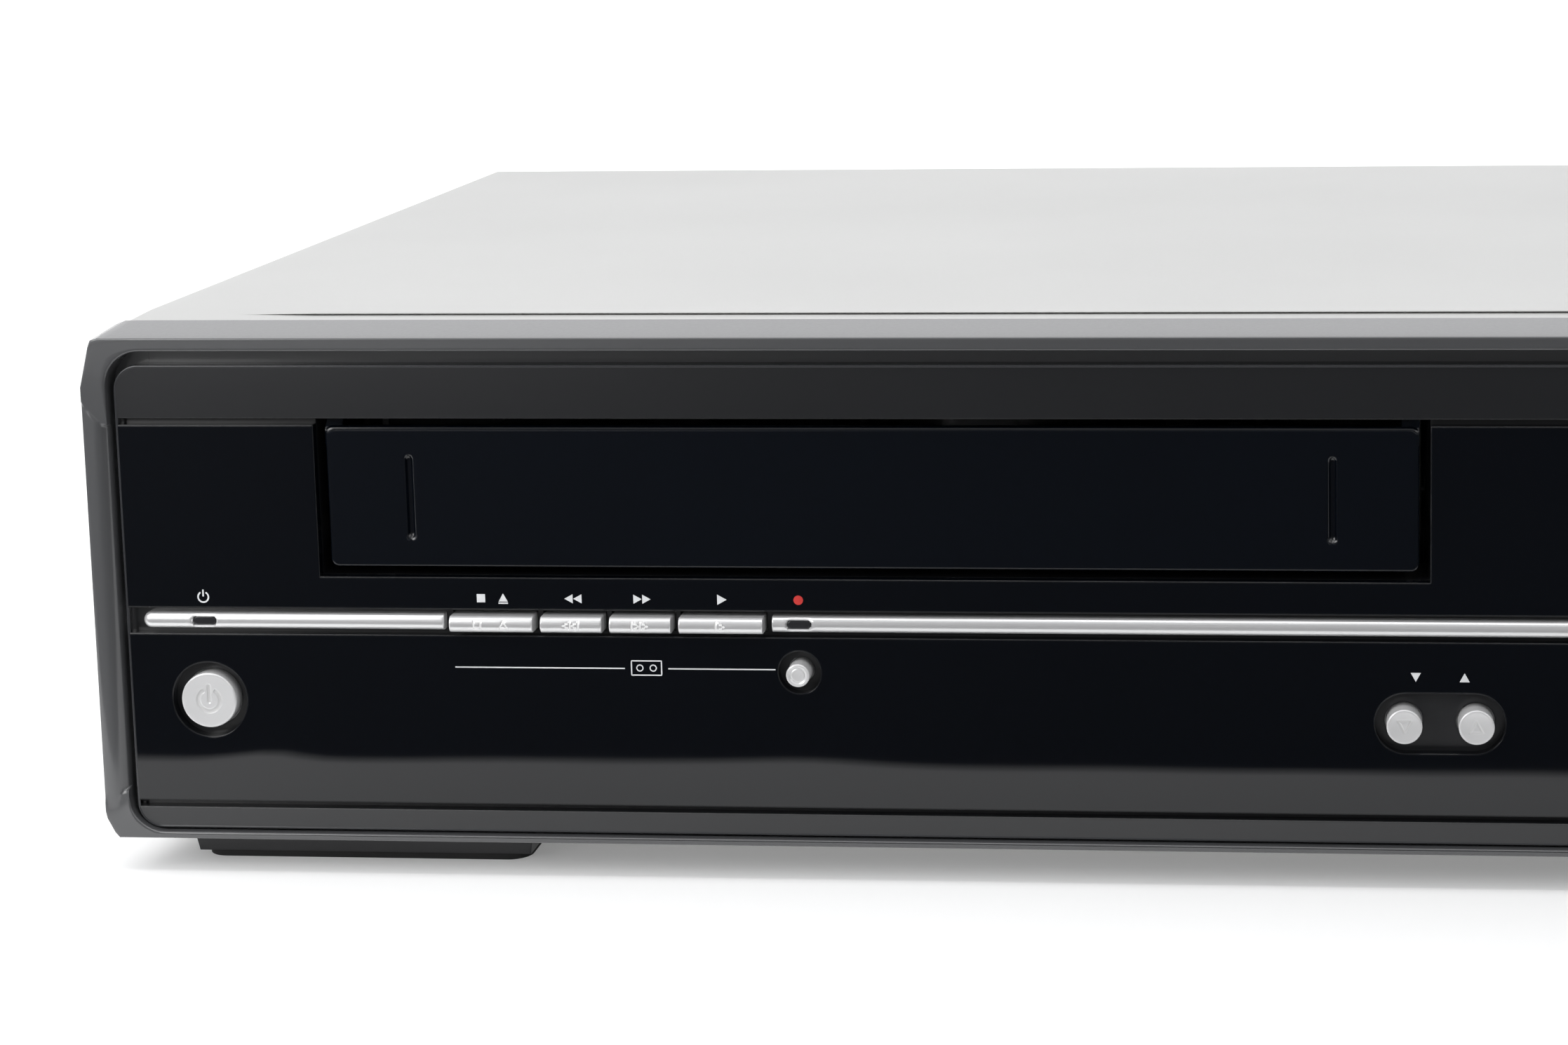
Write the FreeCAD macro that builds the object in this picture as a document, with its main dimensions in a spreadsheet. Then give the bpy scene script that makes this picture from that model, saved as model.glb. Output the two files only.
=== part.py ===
import FreeCAD, Part
import os
import re

import Sketcher
from FreeCAD import Placement, Rotation, Vector

# A disc and cassette recorder in one case: disc drawer on the right, cassette opening on the left.
# X runs to the right, the front faces -Y, Z runs up from the floor. All lengths are in millimetres.

doc = FreeCAD.newDocument("combo_recorder")
sizes = doc.addObject("Spreadsheet::Sheet", "Sizes")

# Each row: the name of the size, its amount or formula, and what it is.
ROWS = [
    # Case
    ("case_width", "435", "front frame, side to side, at its front edge"),
    ("case_depth", "265", "front frame's face to the rear panel's outside"),
    ("front_proud", "0.7", "farthest that a button stands before the front frame"),
    ("rear_proud", "9.3", "aerial sockets behind the rear panel"),
    ("face", "=-(front_proud + case_depth + rear_proud) / 2 + front_proud", "Y of the front frame's face"),
    ("rear", "=face + case_depth", "Y of the rear panel's outside"),
    ("half", "=case_width / 2", "half of the front frame"),
    ("spare", "=(case_width - 370) / 65", "share of the room beside deck and drive that this width leaves"),
    # The front as a stack of heights, from the floor up
    ("foot_height", "6.8", "floor to the front frame's underside"),
    ("sill", "1.2", "front frame below its opening"),
    ("sill_gap", "0.4", "opening's edge to the panel"),
    ("low_band", "3.9", "satin band at the panel's foot"),
    ("groove", "1.2", "dark line above and below the glossy fields"),
    ("low_field", "31", "lower glossy field"),
    ("channel", "4.7", "channel of the silver strip"),
    ("high_field", "33.3", "upper glossy field"),
    ("top_band", "9.5", "satin band at the panel's head"),
    ("cove", "2.7", "dark gap above the panel"),
    ("frame_head", "2.4", "front frame above its opening"),
    ("frame_low", "=foot_height + sill", "Z of the frame opening's lower edge"),
    ("panel_low", "=frame_low + sill_gap", "Z of the panel's lower edge"),
    ("low_field_z", "=panel_low + low_band + groove", "Z of the lower field's lower edge"),
    ("channel_z", "=low_field_z + low_field", "Z of the channel's lower edge"),
    ("high_field_z", "=channel_z + channel", "Z of the upper field's lower edge"),
    ("band_z", "=high_field_z + high_field + groove", "Z of the top band's lower edge"),
    ("panel_high", "=band_z + top_band", "Z of the panel's upper edge"),
    ("frame_high", "=panel_high + cove", "Z of the frame opening's upper edge"),
    ("bezel_top", "=frame_high + frame_head", "Z of the front frame's top"),
    # Front frame
    ("bezel_depth", "14", "front frame, front to back"),
    ("bezel_draft", "2.5", "degrees that the frame's sides open to the rear"),
    ("corner_in", "2.2", "slanted upper corner, sideways"),
    ("corner_drop", "8.8", "slanted upper corner, downwards"),
    ("heel_in", "2.0", "slanted lower corner, sideways"),
    ("heel_rise", "4.0", "slanted lower corner, upwards"),
    ("frame_side", "4.6", "front frame beside its opening"),
    ("frame_round", "6.5", "corners of the frame opening"),
    ("ledge_set", "5", "face to the ledge that carries the panel"),
    ("ledge_thick", "2", "ledge, front to back"),
    ("ledge_wide", "4", "ledge, inwards"),
    ("bezel_wall", "2.5", "wall of the frame behind its ledge"),
    ("column_low", "7.2", "lower end of the side column above the frame's underside"),
    ("column_high", "15.3", "upper end of the side column below the frame's top"),
    ("column_set", "0.4", "side column behind the face"),
    ("column_round", "3", "side column's rounded inner edge"),
    ("tab_in", "192", "side to the tab under the frame"),
    ("tab_wide", "29.5", "tab under the frame, side to side"),
    ("tab_drop", "0.5", "tab under the frame, height"),
    # Panel
    ("panel_gap", "1.1", "frame opening to the panel, each side"),
    ("panel_half", "=half - frame_side - panel_gap", "half of the panel"),
    ("panel_round", "4.5", "corners of the panel"),
    ("gloss_set", "1.5", "face to the glossy plates"),
    ("gloss_thick", "2", "glossy plates"),
    ("gloss_face", "=face + gloss_set", "Y of the glossy plates' face"),
    ("skin_front", "=gloss_face + gloss_thick", "Y of the moulding's front"),
    ("skin_back", "=face + ledge_set", "Y of the moulding's back, on the ledge"),
    ("belly", "1.5", "lower field's curve back to its foot"),
    # Cassette opening
    ("mouth_left", "=11 + 30.6 * spare", "case's left side to the opening"),
    ("mouth_wide", "196.3", "opening, side to side"),
    ("mouth_rise", "5.85", "upper field's foot to the opening"),
    ("mouth_x", "=-half + mouth_left", "X of the opening's left side"),
    ("mouth_end", "=mouth_x + mouth_wide", "X of the opening's right side"),
    ("mouth_mid", "=mouth_x + mouth_wide / 2", "X of the opening's middle"),
    ("mouth_low", "=high_field_z + mouth_rise", "Z of the opening's lower edge"),
    ("mouth_depth", "16", "face to the inner end of the opening's walls"),
    ("mouth_wall", "2.2", "walls round the opening"),
    # Cassette flap
    ("flap_gap", "1.9", "flap to the opening's sides"),
    ("flap_foot_gap", "1.65", "flap to the opening's lower edge"),
    ("flap_head_gap", "1.6", "flap to the band above"),
    ("flap_set", "2.3", "face to the flap's front"),
    ("flap_thick", "2", "flap"),
    ("flap_low", "=mouth_low + flap_foot_gap", "Z of the flap's lower edge"),
    ("flap_high", "=band_z - flap_head_gap", "Z of the flap's upper edge"),
    ("hinge_back", "3.3", "flap's front to its pin, and its upper edge to its pin"),
    ("hinge_y", "=face + flap_set + hinge_back", "Y of the hinge pins"),
    ("hinge_z", "=flap_high + hinge_back", "Z of the hinge pins"),
    ("hinge_pin", "1.2", "radius of the hinge pins"),
    ("hinge_play", "0.05", "running clearance round pins and shafts"),
    ("lug_round", "1.8", "radius of the flap's lugs round their pins"),
    ("lug_wide", "3", "flap's lugs, side to side"),
    ("mouth_roof", "=hinge_z + lug_round + 0.9", "Z of the opening's roof behind the band"),
    ("notch_in", "14.9", "flap's side to its upright groove"),
    ("notch_wide", "1.4", "upright groove, side to side"),
    ("notch_high", "15", "upright groove, height"),
    # Silver strip and keys
    ("strip_set", "1.1", "face to the strip's crown"),
    ("strip_high", "3", "strip and keys, height"),
    ("strip_round", "1.2", "strip's rounded edges"),
    ("strip_in", "8.6", "case's side to the strip's end"),
    ("strip_z", "=channel_z + (channel - strip_high) / 2", "Z of the strip's lower edge"),
    ("key_z", "=strip_z + strip_high / 2", "Z of the keys' middle"),
    ("key_first", "65.2", "case's side to the first key"),
    ("key_gap", "1.4", "between keys, and key to strip"),
    ("key_wide", "15", "first and last key"),
    ("key_narrow", "11", "two middle keys"),
    ("key_second", "=key_first + key_wide + key_gap", "case's side to the second key"),
    ("key_third", "=key_second + key_narrow + key_gap", "case's side to the third key"),
    ("key_fourth", "=key_third + key_narrow + key_gap", "case's side to the fourth key"),
    ("key_end", "=key_fourth + key_wide", "case's side to the end of the keys"),
    ("key_set", "-0.5", "face to the keys' front"),
    ("key_play", "0.25", "keys and buttons to their slots"),
    ("key_travel", "0.8", "how far keys and buttons press in"),
    ("key_flange", "0.8", "flange behind the slot, past the key"),
    ("flange_thick", "1", "flange, front to back"),
    ("flange_y", "=skin_back + 0.3", "Y of the flanges' front"),
    ("stem_end", "=flange_y + flange_thick + 1.7", "Y of the stems' ends"),
    ("stem_round", "2", "radius of the round buttons' stems"),
    ("lamp_in", "20", "case's side to the lamp slot"),
    ("lamp_wide", "4.4", "lamp slot"),
    ("lamp_high", "1.5", "lamp slot, height"),
    ("lamp_after", "4.8", "middle strip's end to its lamp slot's middle"),
    # Round buttons
    ("power_in", "20.2", "case's left side to the power button"),
    ("power_up", "18.8", "lower field's foot to the power button"),
    ("power_round", "5.05", "radius of the power button"),
    ("power_dish", "6.85", "radius of the recess round it"),
    ("power_set", "0.9", "face to the power button"),
    ("record_in", "127.5", "case's side to the record button"),
    ("record_up", "24.7", "lower field's foot to the record button"),
    ("record_round", "2.1", "radius of the record button"),
    ("record_dish", "3.8", "radius of the recess round it"),
    ("program_in", "239.6", "case's left side to the middle of the programme buttons"),
    ("program_up", "16.5", "lower field's foot to the programme buttons"),
    ("program_apart", "12.4", "between the programme buttons"),
    ("program_round", "3.1", "radius of the programme buttons"),
    ("pill_wide", "22.5", "recess round the programme buttons"),
    ("pill_high", "10.7", "recess round the programme buttons, height"),
    ("button_set", "-0.7", "face to the small buttons' front"),
    # Front board
    ("switch_body", "2.1", "key switch, front to back"),
    ("switch_y", "=stem_end + key_travel + 0.1", "Y of the switch tips"),
    ("board_y", "=switch_y + 0.9 + switch_body", "Y of the front board's face"),
    ("board_thick", "1.6", "circuit boards"),
    ("board_in", "12.5", "case's side to the front board"),
    ("board_rise", "6", "pan to the front board"),
    ("board_high", "=mouth_low - mouth_wall - 0.75", "Z of the front board's upper edge"),
    # Cover, pan and rear
    ("cover_rise", "1.2", "cover above the front frame"),
    ("cover_sheet", "0.8", "cover's sheet"),
    ("cover_in", "2.4", "case's side to the cover's outside"),
    ("cover_half", "=half - cover_in", "half of the cover"),
    ("cover_top", "=bezel_top + cover_rise", "Z of the cover's top"),
    ("cover_bend", "1.6", "outer bend of the cover"),
    ("cover_lap", "1.0", "cover's lower edge above the pan's underside"),
    ("pan_rise", "0.8", "pan's underside above the front frame's"),
    ("pan_sheet", "1.0", "pan's sheet"),
    ("pan_wall", "15", "pan's side walls"),
    ("fold_play", "0.1", "between folded sheets"),
    ("pan_z", "=foot_height + pan_rise", "Z of the pan's underside"),
    ("pan_top", "=pan_z + pan_sheet", "Z of the pan's floor"),
    ("pan_half", "=cover_half - cover_sheet - fold_play", "half of the pan"),
    ("inner_y", "=face + bezel_depth", "Y behind the front frame"),
    ("rear_sheet", "1", "rear panel"),
    ("rear_in", "=rear - rear_sheet", "Y of the rear panel's inside"),
    ("vent_wide", "2.4", "cooling slots"),
    ("vent_high", "26", "cooling slots, height"),
    ("vent_pitch", "6", "between cooling slots"),
    ("vent_up", "34", "pan to the cooling slots"),
    # Feet
    ("foot_wide", "62", "feet, side to side, at the floor"),
    ("foot_deep", "26", "feet, front to back"),
    ("foot_in", "13.5", "case's side to a foot"),
    ("foot_set", "10", "face to the front feet's toes, at the floor"),
    ("foot_gap", "1.4", "front frame to the front feet behind their toes"),
    ("toe_gap", "0.9", "front frame's underside to the toes"),
    ("foot_rear", "22", "rear feet before the rear panel"),
    ("foot_draft", "9", "degrees of the feet's sides"),
    ("foot_round", "4", "corners of the feet"),
    ("pad_thick", "1.3", "rubber pads"),
    # Disc drawer
    ("tray_mid_in", "=80.9 + 16.1 * spare", "case's right side to the drawer's middle"),
    ("tray_mid", "=half - tray_mid_in", "X of the drawer's middle"),
    ("door_half", "74", "half of the drawer's front"),
    ("door_high", "14", "drawer's front, height"),
    ("door_up", "16.8", "upper field's foot to the drawer's front"),
    ("door_z", "=high_field_z + door_up", "Z of the drawer front's lower edge"),
    ("door_gap", "0.8", "drawer's front to its opening"),
    ("door_set", "0.9", "face to the drawer's front"),
    ("door_thick", "3", "drawer's front"),
    ("tray_half", "72.7", "half of the drawer"),
    ("tray_thick", "6", "drawer plate"),
    ("tray_up", "4", "drawer front's lower edge to the drawer plate"),
    ("tray_z", "=door_z + tray_up", "Z of the drawer plate's underside"),
    ("tray_top", "=tray_z + tray_thick", "Z of the drawer plate's top"),
    ("tray_y", "=face + door_set + door_thick", "Y of the drawer plate's front"),
    ("tray_long", "166", "drawer plate, front to back"),
    ("tray_travel", "135", "how far the drawer runs out"),
    ("disc_back", "80", "drawer plate's front to the disc's middle"),
    ("disc_y", "=tray_y + disc_back", "Y of the disc's middle"),
    ("disc_round", "60.7", "radius of the disc's well"),
    ("disc_deep", "3.2", "depth of the disc's well"),
    ("small_disc_round", "40.7", "radius of the small disc's well"),
    ("small_disc_deep", "1", "small disc's well, below the large one"),
    ("slot_half", "17", "half of the drawer's slot"),
    ("display_high", "10", "display window, height"),
    ("display_up", "3.9", "upper field's foot to the display window"),
    ("display_z", "=high_field_z + display_up", "Z of the display window's lower edge"),
]
ROWS += [
    # Cassette carriage
    ("tape_wide", "188", "cassette, side to side"),
    ("tape_high", "25", "cassette, height"),
    ("tape_play", "1", "cassette to the carriage's walls"),
    ("tape_z", "=flap_low + 0.3", "Z of the cassette's underside in the opening"),
    ("carriage_y", "=face + 35", "Y of the carriage's front"),
    ("carriage_long", "=case_depth * 14 / 53", "carriage, front to back"),
    ("carriage_sheet", "1.2", "sheet of the carriage, trolley and brackets"),
    ("carriage_in", "=case_depth * 11 / 53", "how far the carriage runs in"),
    ("carriage_drop", "26", "how far the carriage sinks"),
    ("carriage_half", "=tape_wide / 2 + tape_play", "inside half of the carriage"),
    ("lip_wide", "12", "carriage's lips under the cassette"),
    ("wall_gap", "0.8", "between carriage, trolley and brackets"),
    ("trolley_half", "=carriage_half + carriage_sheet + wall_gap", "inside half of the trolley"),
    ("bracket_half", "=trolley_half + carriage_sheet + wall_gap", "inside half of the brackets"),
    ("pin_round", "1.5", "radius of the guide pins"),
    ("pin_play", "0.2", "guide pins in their slots"),
    ("carriage_pin_z", "=tape_z + 13", "Z of the carriage's guide pins"),
    ("trolley_pin_z", "=tape_z + 3", "Z of the trolley's guide pins"),
    ("carriage_mid", "=carriage_y + carriage_long / 2", "Y of the carriage's guide pins"),
    ("trolley_half_long", "20", "half of the trolley, front to back"),
    ("trolley_pins", "14", "trolley's guide pins from its middle"),
    ("carriage_top", "=tape_z + tape_high + 2 + carriage_sheet", "Z of the carriage's top"),
    ("shaft_z", "=carriage_top + 2", "Z of the trolley's cross shaft"),
    # Cassette deck
    ("seat_z", "=tape_z - carriage_drop", "Z of the cassette's underside on the reels"),
    ("reel_stand", "7.8", "deck plate to the seated cassette"),
    ("deck_top", "=seat_z - reel_stand", "Z of the deck plate's top"),
    ("deck_sheet", "1.2", "deck plate"),
    ("deck_z", "=deck_top - deck_sheet", "Z of the deck plate's underside"),
    ("deck_y", "=face + 36", "Y of the deck plate's front"),
    ("deck_half", "=bracket_half + carriage_sheet + 4", "half of the deck plate"),
    ("post_side", "8", "posts under deck and drive"),
    ("bracket_y", "=deck_y", "Y of the brackets' front"),
    ("bracket_long", "=carriage_long + carriage_in + 37", "brackets, front to back"),
    ("bracket_top", "=shaft_z + 3.5", "Z of the brackets' top"),
    ("drum_y", "=carriage_y + carriage_long + carriage_in + 36", "Y of the drum's middle"),
    ("drum_round", "31", "radius of the head drum"),
    ("deck_long", "=drum_y + drum_round + 9 - deck_y", "deck plate, front to back"),
    ("drum_tilt", "5.97", "degrees that the drum leans"),
    ("drum_lower", "19", "fixed half of the drum, on its stand"),
    ("drum_stand", "4", "drum's stand under its fixed half"),
    ("drum_gap", "0.3", "between the halves of the drum"),
    ("drum_upper_high", "15", "turning half of the drum"),
    ("drum_shaft", "2.5", "radius of the drum's shaft"),
    ("ledge_drop", "3", "tape ledge on the fixed half"),
    ("capstan_x", "=mouth_mid + 60", "X of the capstan"),
    ("capstan_y", "=drum_y - 24", "Y of the capstan"),
    ("capstan_round", "1.5", "radius of the capstan"),
    ("capstan_high", "27", "capstan above the deck plate"),
    ("wheel_round", "24", "radius of the capstan's flywheel"),
    ("wheel_play", "1.5", "flywheel to the pan and the deck plate"),
    ("bearing_round", "5", "radius of the capstan's bearing"),
    ("bearing_high", "8", "capstan's bearing above the deck plate"),
    ("arm_x", "=capstan_x + 20", "X of the pinch arm's pivot"),
    ("arm_y", "=capstan_y + 8", "Y of the pinch arm's pivot"),
    ("arm_long", "15", "pinch arm, pivot to roller"),
    ("arm_angle", "163", "degrees of the pinch arm at rest, from +X"),
    ("arm_thick", "2", "pinch arm"),
    ("arm_up", "9.5", "deck plate to the pinch arm"),
    ("arm_post", "2", "radius of the pinch arm's post"),
    ("roller_round", "6", "radius of the pinch roller"),
    ("roller_high", "13", "pinch roller"),
    ("roller_pin", "1.25", "radius of the pinch roller's pin"),
    ("reel_apart", "92", "between the reels"),
    ("reel_y", "=carriage_y + carriage_in + 22", "Y of the reels"),
    ("reel_round", "22", "radius of the reel tables"),
    ("reel_thick", "3.6", "reel tables"),
    ("reel_hub", "6.5", "radius of the reel hubs"),
    ("reel_rise", "9", "reel hub above the seated cassette"),
    ("reel_pin", "2", "radius of the reels' posts"),
    ("guide_round", "2.5", "radius of the tape guides"),
    ("guide_high", "24", "tape guides"),
    ("motor_round", "11", "radius of the loading motor"),
    ("motor_long", "28", "loading motor"),
    # Disc drive
    ("drive_half", "=tray_half + 0.3 + drive_wall", "half of the drive's tub"),
    ("drive_wall", "3", "walls of the drive's tub"),
    ("drive_y", "=face + 18", "Y of the tub's front"),
    ("drive_long", "182", "tub, front to back"),
    ("drive_floor", "2", "tub's floor"),
    ("drive_z", "=tray_z - 13", "Z of the tub's underside"),
    ("floor_top", "=drive_z + drive_floor", "Z of the tub's floor"),
    ("drive_top", "=tray_top + 8", "Z of the tub's walls"),
    ("rail_wide", "3", "rails under and over the drawer"),
    ("rail_thick", "2", "rails, height"),
    ("rail_play", "0.3", "drawer to its rails"),
    ("tooth_pitch", "=pi * 1", "rack teeth"),
    ("pinion_round", "8", "pitch radius of the pinion"),
    ("pinion_teeth", "16", "teeth of the pinion"),
    ("tooth_out", "0.9", "teeth outside the pitch line"),
    ("tooth_in", "1.1", "teeth inside the pitch line"),
    ("tooth_root", "1.5", "tooth at its root"),
    ("tooth_tip", "0.6", "tooth at its tip"),
    ("rack_line", "61", "drawer's middle to the rack's pitch line"),
    ("rack_back", "4", "rack's back behind its roots"),
    ("rack_high", "3.5", "rack under the drawer"),
    ("pinion_x", "=tray_mid + rack_line - pinion_round", "X of the pinion"),
    ("pinion_y", "=face + 30", "Y of the pinion"),
    ("pinion_post", "2", "radius of the pinion's post"),
    ("bed_half", "33", "half of the plate under the disc"),
    ("bed_thick", "1.5", "plate under the disc"),
    ("bed_front", "24", "disc's middle to the plate's front"),
    ("bed_long", "88", "plate under the disc, front to back"),
    ("table_round", "13.5", "radius of the disc table"),
    ("table_z", "=tray_top - disc_deep - 1.6", "Z of the disc table's underside"),
    ("table_thick", "1.4", "disc table"),
    ("cone_round", "7.2", "radius of the disc table's cone"),
    ("cone_high", "1.8", "disc table's cone"),
    ("spindle_round", "1.25", "radius of the spindle"),
    ("rod_round", "1.5", "radius of the pickup's rods"),
    ("rod_out", "24", "rods from the drawer's middle"),
    ("rod_z", "=floor_top + 6.2", "Z of the rods"),
    ("rod_play", "0.08", "pickup on its rods"),
    ("pickup_back", "15.5", "disc's middle to the pickup's front"),
    ("pickup_long", "17", "pickup, front to back"),
    ("pickup_travel", "23", "how far the pickup runs"),
    ("lens_round", "3.5", "radius of the lens"),
    ("bridge_wide", "28", "bridge over the disc, front to back"),
    ("bridge_sheet", "1.2", "bridge over the disc"),
    ("puck_round", "13", "radius of the clamp puck"),
    ("puck_neck", "6", "radius of the puck's neck"),
    ("puck_up", "1.2", "drawer to the clamp puck"),
    # Boards and rear
    ("bolt_boss", "3", "radius of the bosses under the boards"),
    ("boss_rise", "5.4", "bosses under the boards"),
    ("main_in", "10", "case's right side to the rear boards"),
    ("main_wide", "=half - main_in - mouth_mid - deck_half - 9.05", "boards under the drive, side to side"),
    ("power_y", "=face + 34", "Y of the power board's front"),
    ("power_long", "=(case_depth - 57) / 2", "power board, front to back"),
    ("main_y", "=power_y + power_long + 8", "Y of the main board's front"),
    ("main_long", "=power_long", "main board, front to back"),
    ("scart_wide", "47", "picture socket"),
    ("scart_high", "15", "picture socket, height"),
    ("scart_up", "18", "pan to the lower picture socket"),
    ("scart_pitch", "24", "between the picture sockets"),
    ("scart_in", "118", "case's left side to the picture sockets"),
    ("phono_in", "172", "case's left side to the first phono sockets"),
    ("phono_pitch", "14", "between phono sockets"),
    ("phono_round", "4.15", "radius of the phono sockets"),
    ("phono_bore", "1.65", "contact hole of the phono sockets"),
    ("phono_up", "20", "pan to the lower phono sockets"),
    ("tuner_in", "22", "case's left side to the tuner"),
    ("tuner_wide", "38", "tuner, side to side"),
    ("tuner_up", "26", "pan to the tuner"),
    ("tuner_high", "42", "tuner, height"),
    ("tuner_deep", "24", "tuner, front to back"),
    ("aerial_round", "4.8", "radius of the aerial sockets"),
    ("aerial_bore", "1.5", "contact hole of the aerial sockets"),
    ("fan_side", "40", "cooling fan"),
    ("fan_deep", "10", "cooling fan, front to back"),
    ("fan_in", "60", "case's right side to the fan's middle"),
    ("fan_z", "=pan_top + 30", "Z of the fan's middle"),
    ("fan_round", "18.5", "radius of the fan's opening"),
    ("blade_play", "0.8", "fan blades to their opening"),
    ("fan_hub", "9", "radius of the fan's hub"),
    ("inlet_in", "24", "case's right side to the mains inlet"),
    ("inlet_wide", "24", "mains inlet"),
    ("inlet_high", "17", "mains inlet, height"),
    ("inlet_z", "=pan_top + 10", "Z of the mains inlet's lower edge"),
    ("jack_in", "62", "case's right side to the middle of the front jacks"),
    ("jack_up", "14.5", "lower field's foot to the front jacks"),
    ("jack_wide", "66", "recess of the front jacks"),
    ("jack_high", "15", "recess of the front jacks, height"),
    ("screw_round", "1.5", "radius of the case screws"),
    ("screw_head", "3", "radius of the screw heads"),
]


# The sheet and what reads it

names = set()
for number, (alias, amount, meaning) in enumerate(ROWS, 1):
    sizes.set(f"A{number}", alias)
    sizes.set(f"B{number}", amount)
    sizes.set(f"C{number}", meaning)
    sizes.setAlias(f"B{number}", alias)
    names.add(alias)
doc.recompute()


def full(text):
    """The formula with the sheet's name before each of its sizes."""
    return re.sub(r"[A-Za-z_]\w*", lambda word: ("Sizes." if word[0] in names else "") + word[0], str(text))


def bind(thing, what, text):
    """Ties a property of a document object to a formula."""
    thing.setExpression(what, full(text))


def amount_of(text):
    """A formula's amount now."""
    return float(sizes.evalExpression(str(text)))


def origin_plane(body, role):
    return next(plane for plane in body.Origin.OriginFeatures if plane.Role == role + "_Plane")


# Shapes, each tied to formulas

def box(name, x, y, z):
    """A box between the low and the high formula of each direction."""
    made = doc.addObject("Part::Box", name)
    for side, base, (low, high) in (("Length", "x", x), ("Width", "y", y), ("Height", "z", z)):
        bind(made, side, f"({high}) - ({low})")
        bind(made, "Placement.Base." + base, low)
    return made


TURNS = {
    "X": Rotation(Vector(0, 1, 0), 90),
    "Y": Rotation(Vector(1, 0, 0), -90),
    "Z": Rotation(),
}


def rod(name, along, start, radius, length):
    """A cylinder that starts at a point and runs along an axis."""
    made = doc.addObject("Part::Cylinder", name)
    bind(made, "Radius", radius)
    bind(made, "Height", length)
    made.Placement = Placement(Vector(), TURNS[along])
    for base, text in zip("xyz", start):
        bind(made, "Placement.Base." + base, text)
    return made


def rounded(name, along, x, y, z, radius):
    """A box whose four edges along one axis are rounded."""
    body = doc.addObject("PartDesign::Body", name)
    block = body.newObject("PartDesign::AdditiveBox", name + "_block")
    for side, base, (low, high) in (("Length", "x", x), ("Width", "y", y), ("Height", "z", z)):
        bind(block, side, f"({high}) - ({low})")
        bind(block, "Placement.Base." + base, low)
    block.recompute()
    axis = {"X": Vector(1, 0, 0), "Y": Vector(0, 1, 0), "Z": Vector(0, 0, 1)}[along]
    edges = [f"Edge{number}" for number, edge in enumerate(block.Shape.Edges, 1)
             if abs(edge.tangentAt(0).dot(axis)) > 0.999]
    round_off = body.newObject("PartDesign::Fillet", name + "_round")
    round_off.Base = (block, edges)
    bind(round_off, "Radius", radius)
    body.Tip = round_off
    return body


def outline(body, name, role, points):
    """A closed sketch of straight lines through formula points, each held by its two distances."""
    sketch = body.newObject("Sketcher::SketchObject", name)
    sketch.AttachmentSupport = [(origin_plane(body, role), "")]
    sketch.MapMode = "FlatFace"
    spots = [Vector(amount_of(across), amount_of(up), 0) for across, up in points]
    sketch.addGeometry([Part.LineSegment(spot, spots[(number + 1) % len(spots)])
                        for number, spot in enumerate(spots)])
    for number, spot in enumerate(spots):
        previous = (number - 1) % len(spots)
        sketch.addConstraint(Sketcher.Constraint("Coincident", previous, 2, number, 1))
        for kind, place, text in (("DistanceX", spot.x, points[number][0]), ("DistanceY", spot.y, points[number][1])):
            held = sketch.addConstraint(Sketcher.Constraint(kind, -1, 1, number, 1, place))
            bind(sketch, f"Constraints[{held}]", text)
    return sketch


def extruded(name, role, points, low, high, draft=None, soften=None):
    """A sketch pushed out between two formulas along its plane's normal. soften is (point numbers, radius)."""
    body = doc.addObject("PartDesign::Body", name)
    sketch = outline(body, name + "_outline", role, points)
    pad = body.newObject("PartDesign::Pad", name + "_pad")
    pad.Profile = sketch
    bind(pad, "Length", f"({high}) - ({low})")
    if role == "XZ":
        bind(sketch, "AttachmentOffset.Base.z", f"-({low})")
        pad.Reversed = True
    else:
        bind(sketch, "AttachmentOffset.Base.z", low)
    if draft:
        bind(pad, "TaperAngle", draft)
    body.Tip = pad
    if soften:
        numbers, radius = soften
        doc.recompute()
        flat = {"XY": (0, 1), "XZ": (0, 2), "YZ": (1, 2)}[role]
        wanted = [(amount_of(points[number][0]), amount_of(points[number][1])) for number in numbers]
        edges = []
        for number, edge in enumerate(pad.Shape.Edges, 1):
            ends = [tuple(vertex.Point[side] for side in flat) for vertex in edge.Vertexes]
            if len(ends) == 2 and max(abs(a - b) for a, b in zip(*ends)) < 1e-6:
                if any(max(abs(a - b) for a, b in zip(ends[0], spot)) < 1e-6 for spot in wanted):
                    edges.append(f"Edge{number}")
        round_off = body.newObject("PartDesign::Fillet", name + "_round")
        round_off.Base = (pad, edges)
        bind(round_off, "Radius", radius)
        body.Tip = round_off
    return body


def turned(name, points, place, along="Z"):
    """A sketch of (radius, height) points turned round its height axis, which is then set along an axis."""
    body = doc.addObject("PartDesign::Body", name)
    sketch = outline(body, name + "_outline", "XZ", points)
    turn = body.newObject("PartDesign::Revolution", name + "_turn")
    turn.Profile = sketch
    turn.ReferenceAxis = (sketch, ["V_Axis"])
    turn.Angle = 360
    body.Tip = turn
    body.Placement = Placement(Vector(), TURNS[along])
    for base, text in zip("xyz", place):
        bind(body, "Placement.Base." + base, text)
    return body


def fused(name, *pieces):
    made = doc.addObject("Part::MultiFuse", name)
    made.Shapes = list(pieces)
    return made


def less(name, base, *tools):
    """A piece with one or more others cut out of it."""
    made = doc.addObject("Part::Cut", name)
    made.Base = base
    made.Tool = tools[0] if len(tools) == 1 else fused(name + "_openings", *tools)
    return made


def several(name, *pieces):
    """Separate solids kept in one object."""
    made = doc.addObject("Part::Compound", name)
    made.Links = list(pieces)
    return made


nodes = []


def piece(label, made):
    """Notes a finished sub-part under its own label."""
    made.Label = label
    nodes.append(made)
    return made


# Front frame: a moulded ring with a ledge inside it and a half-round column at each side

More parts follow.
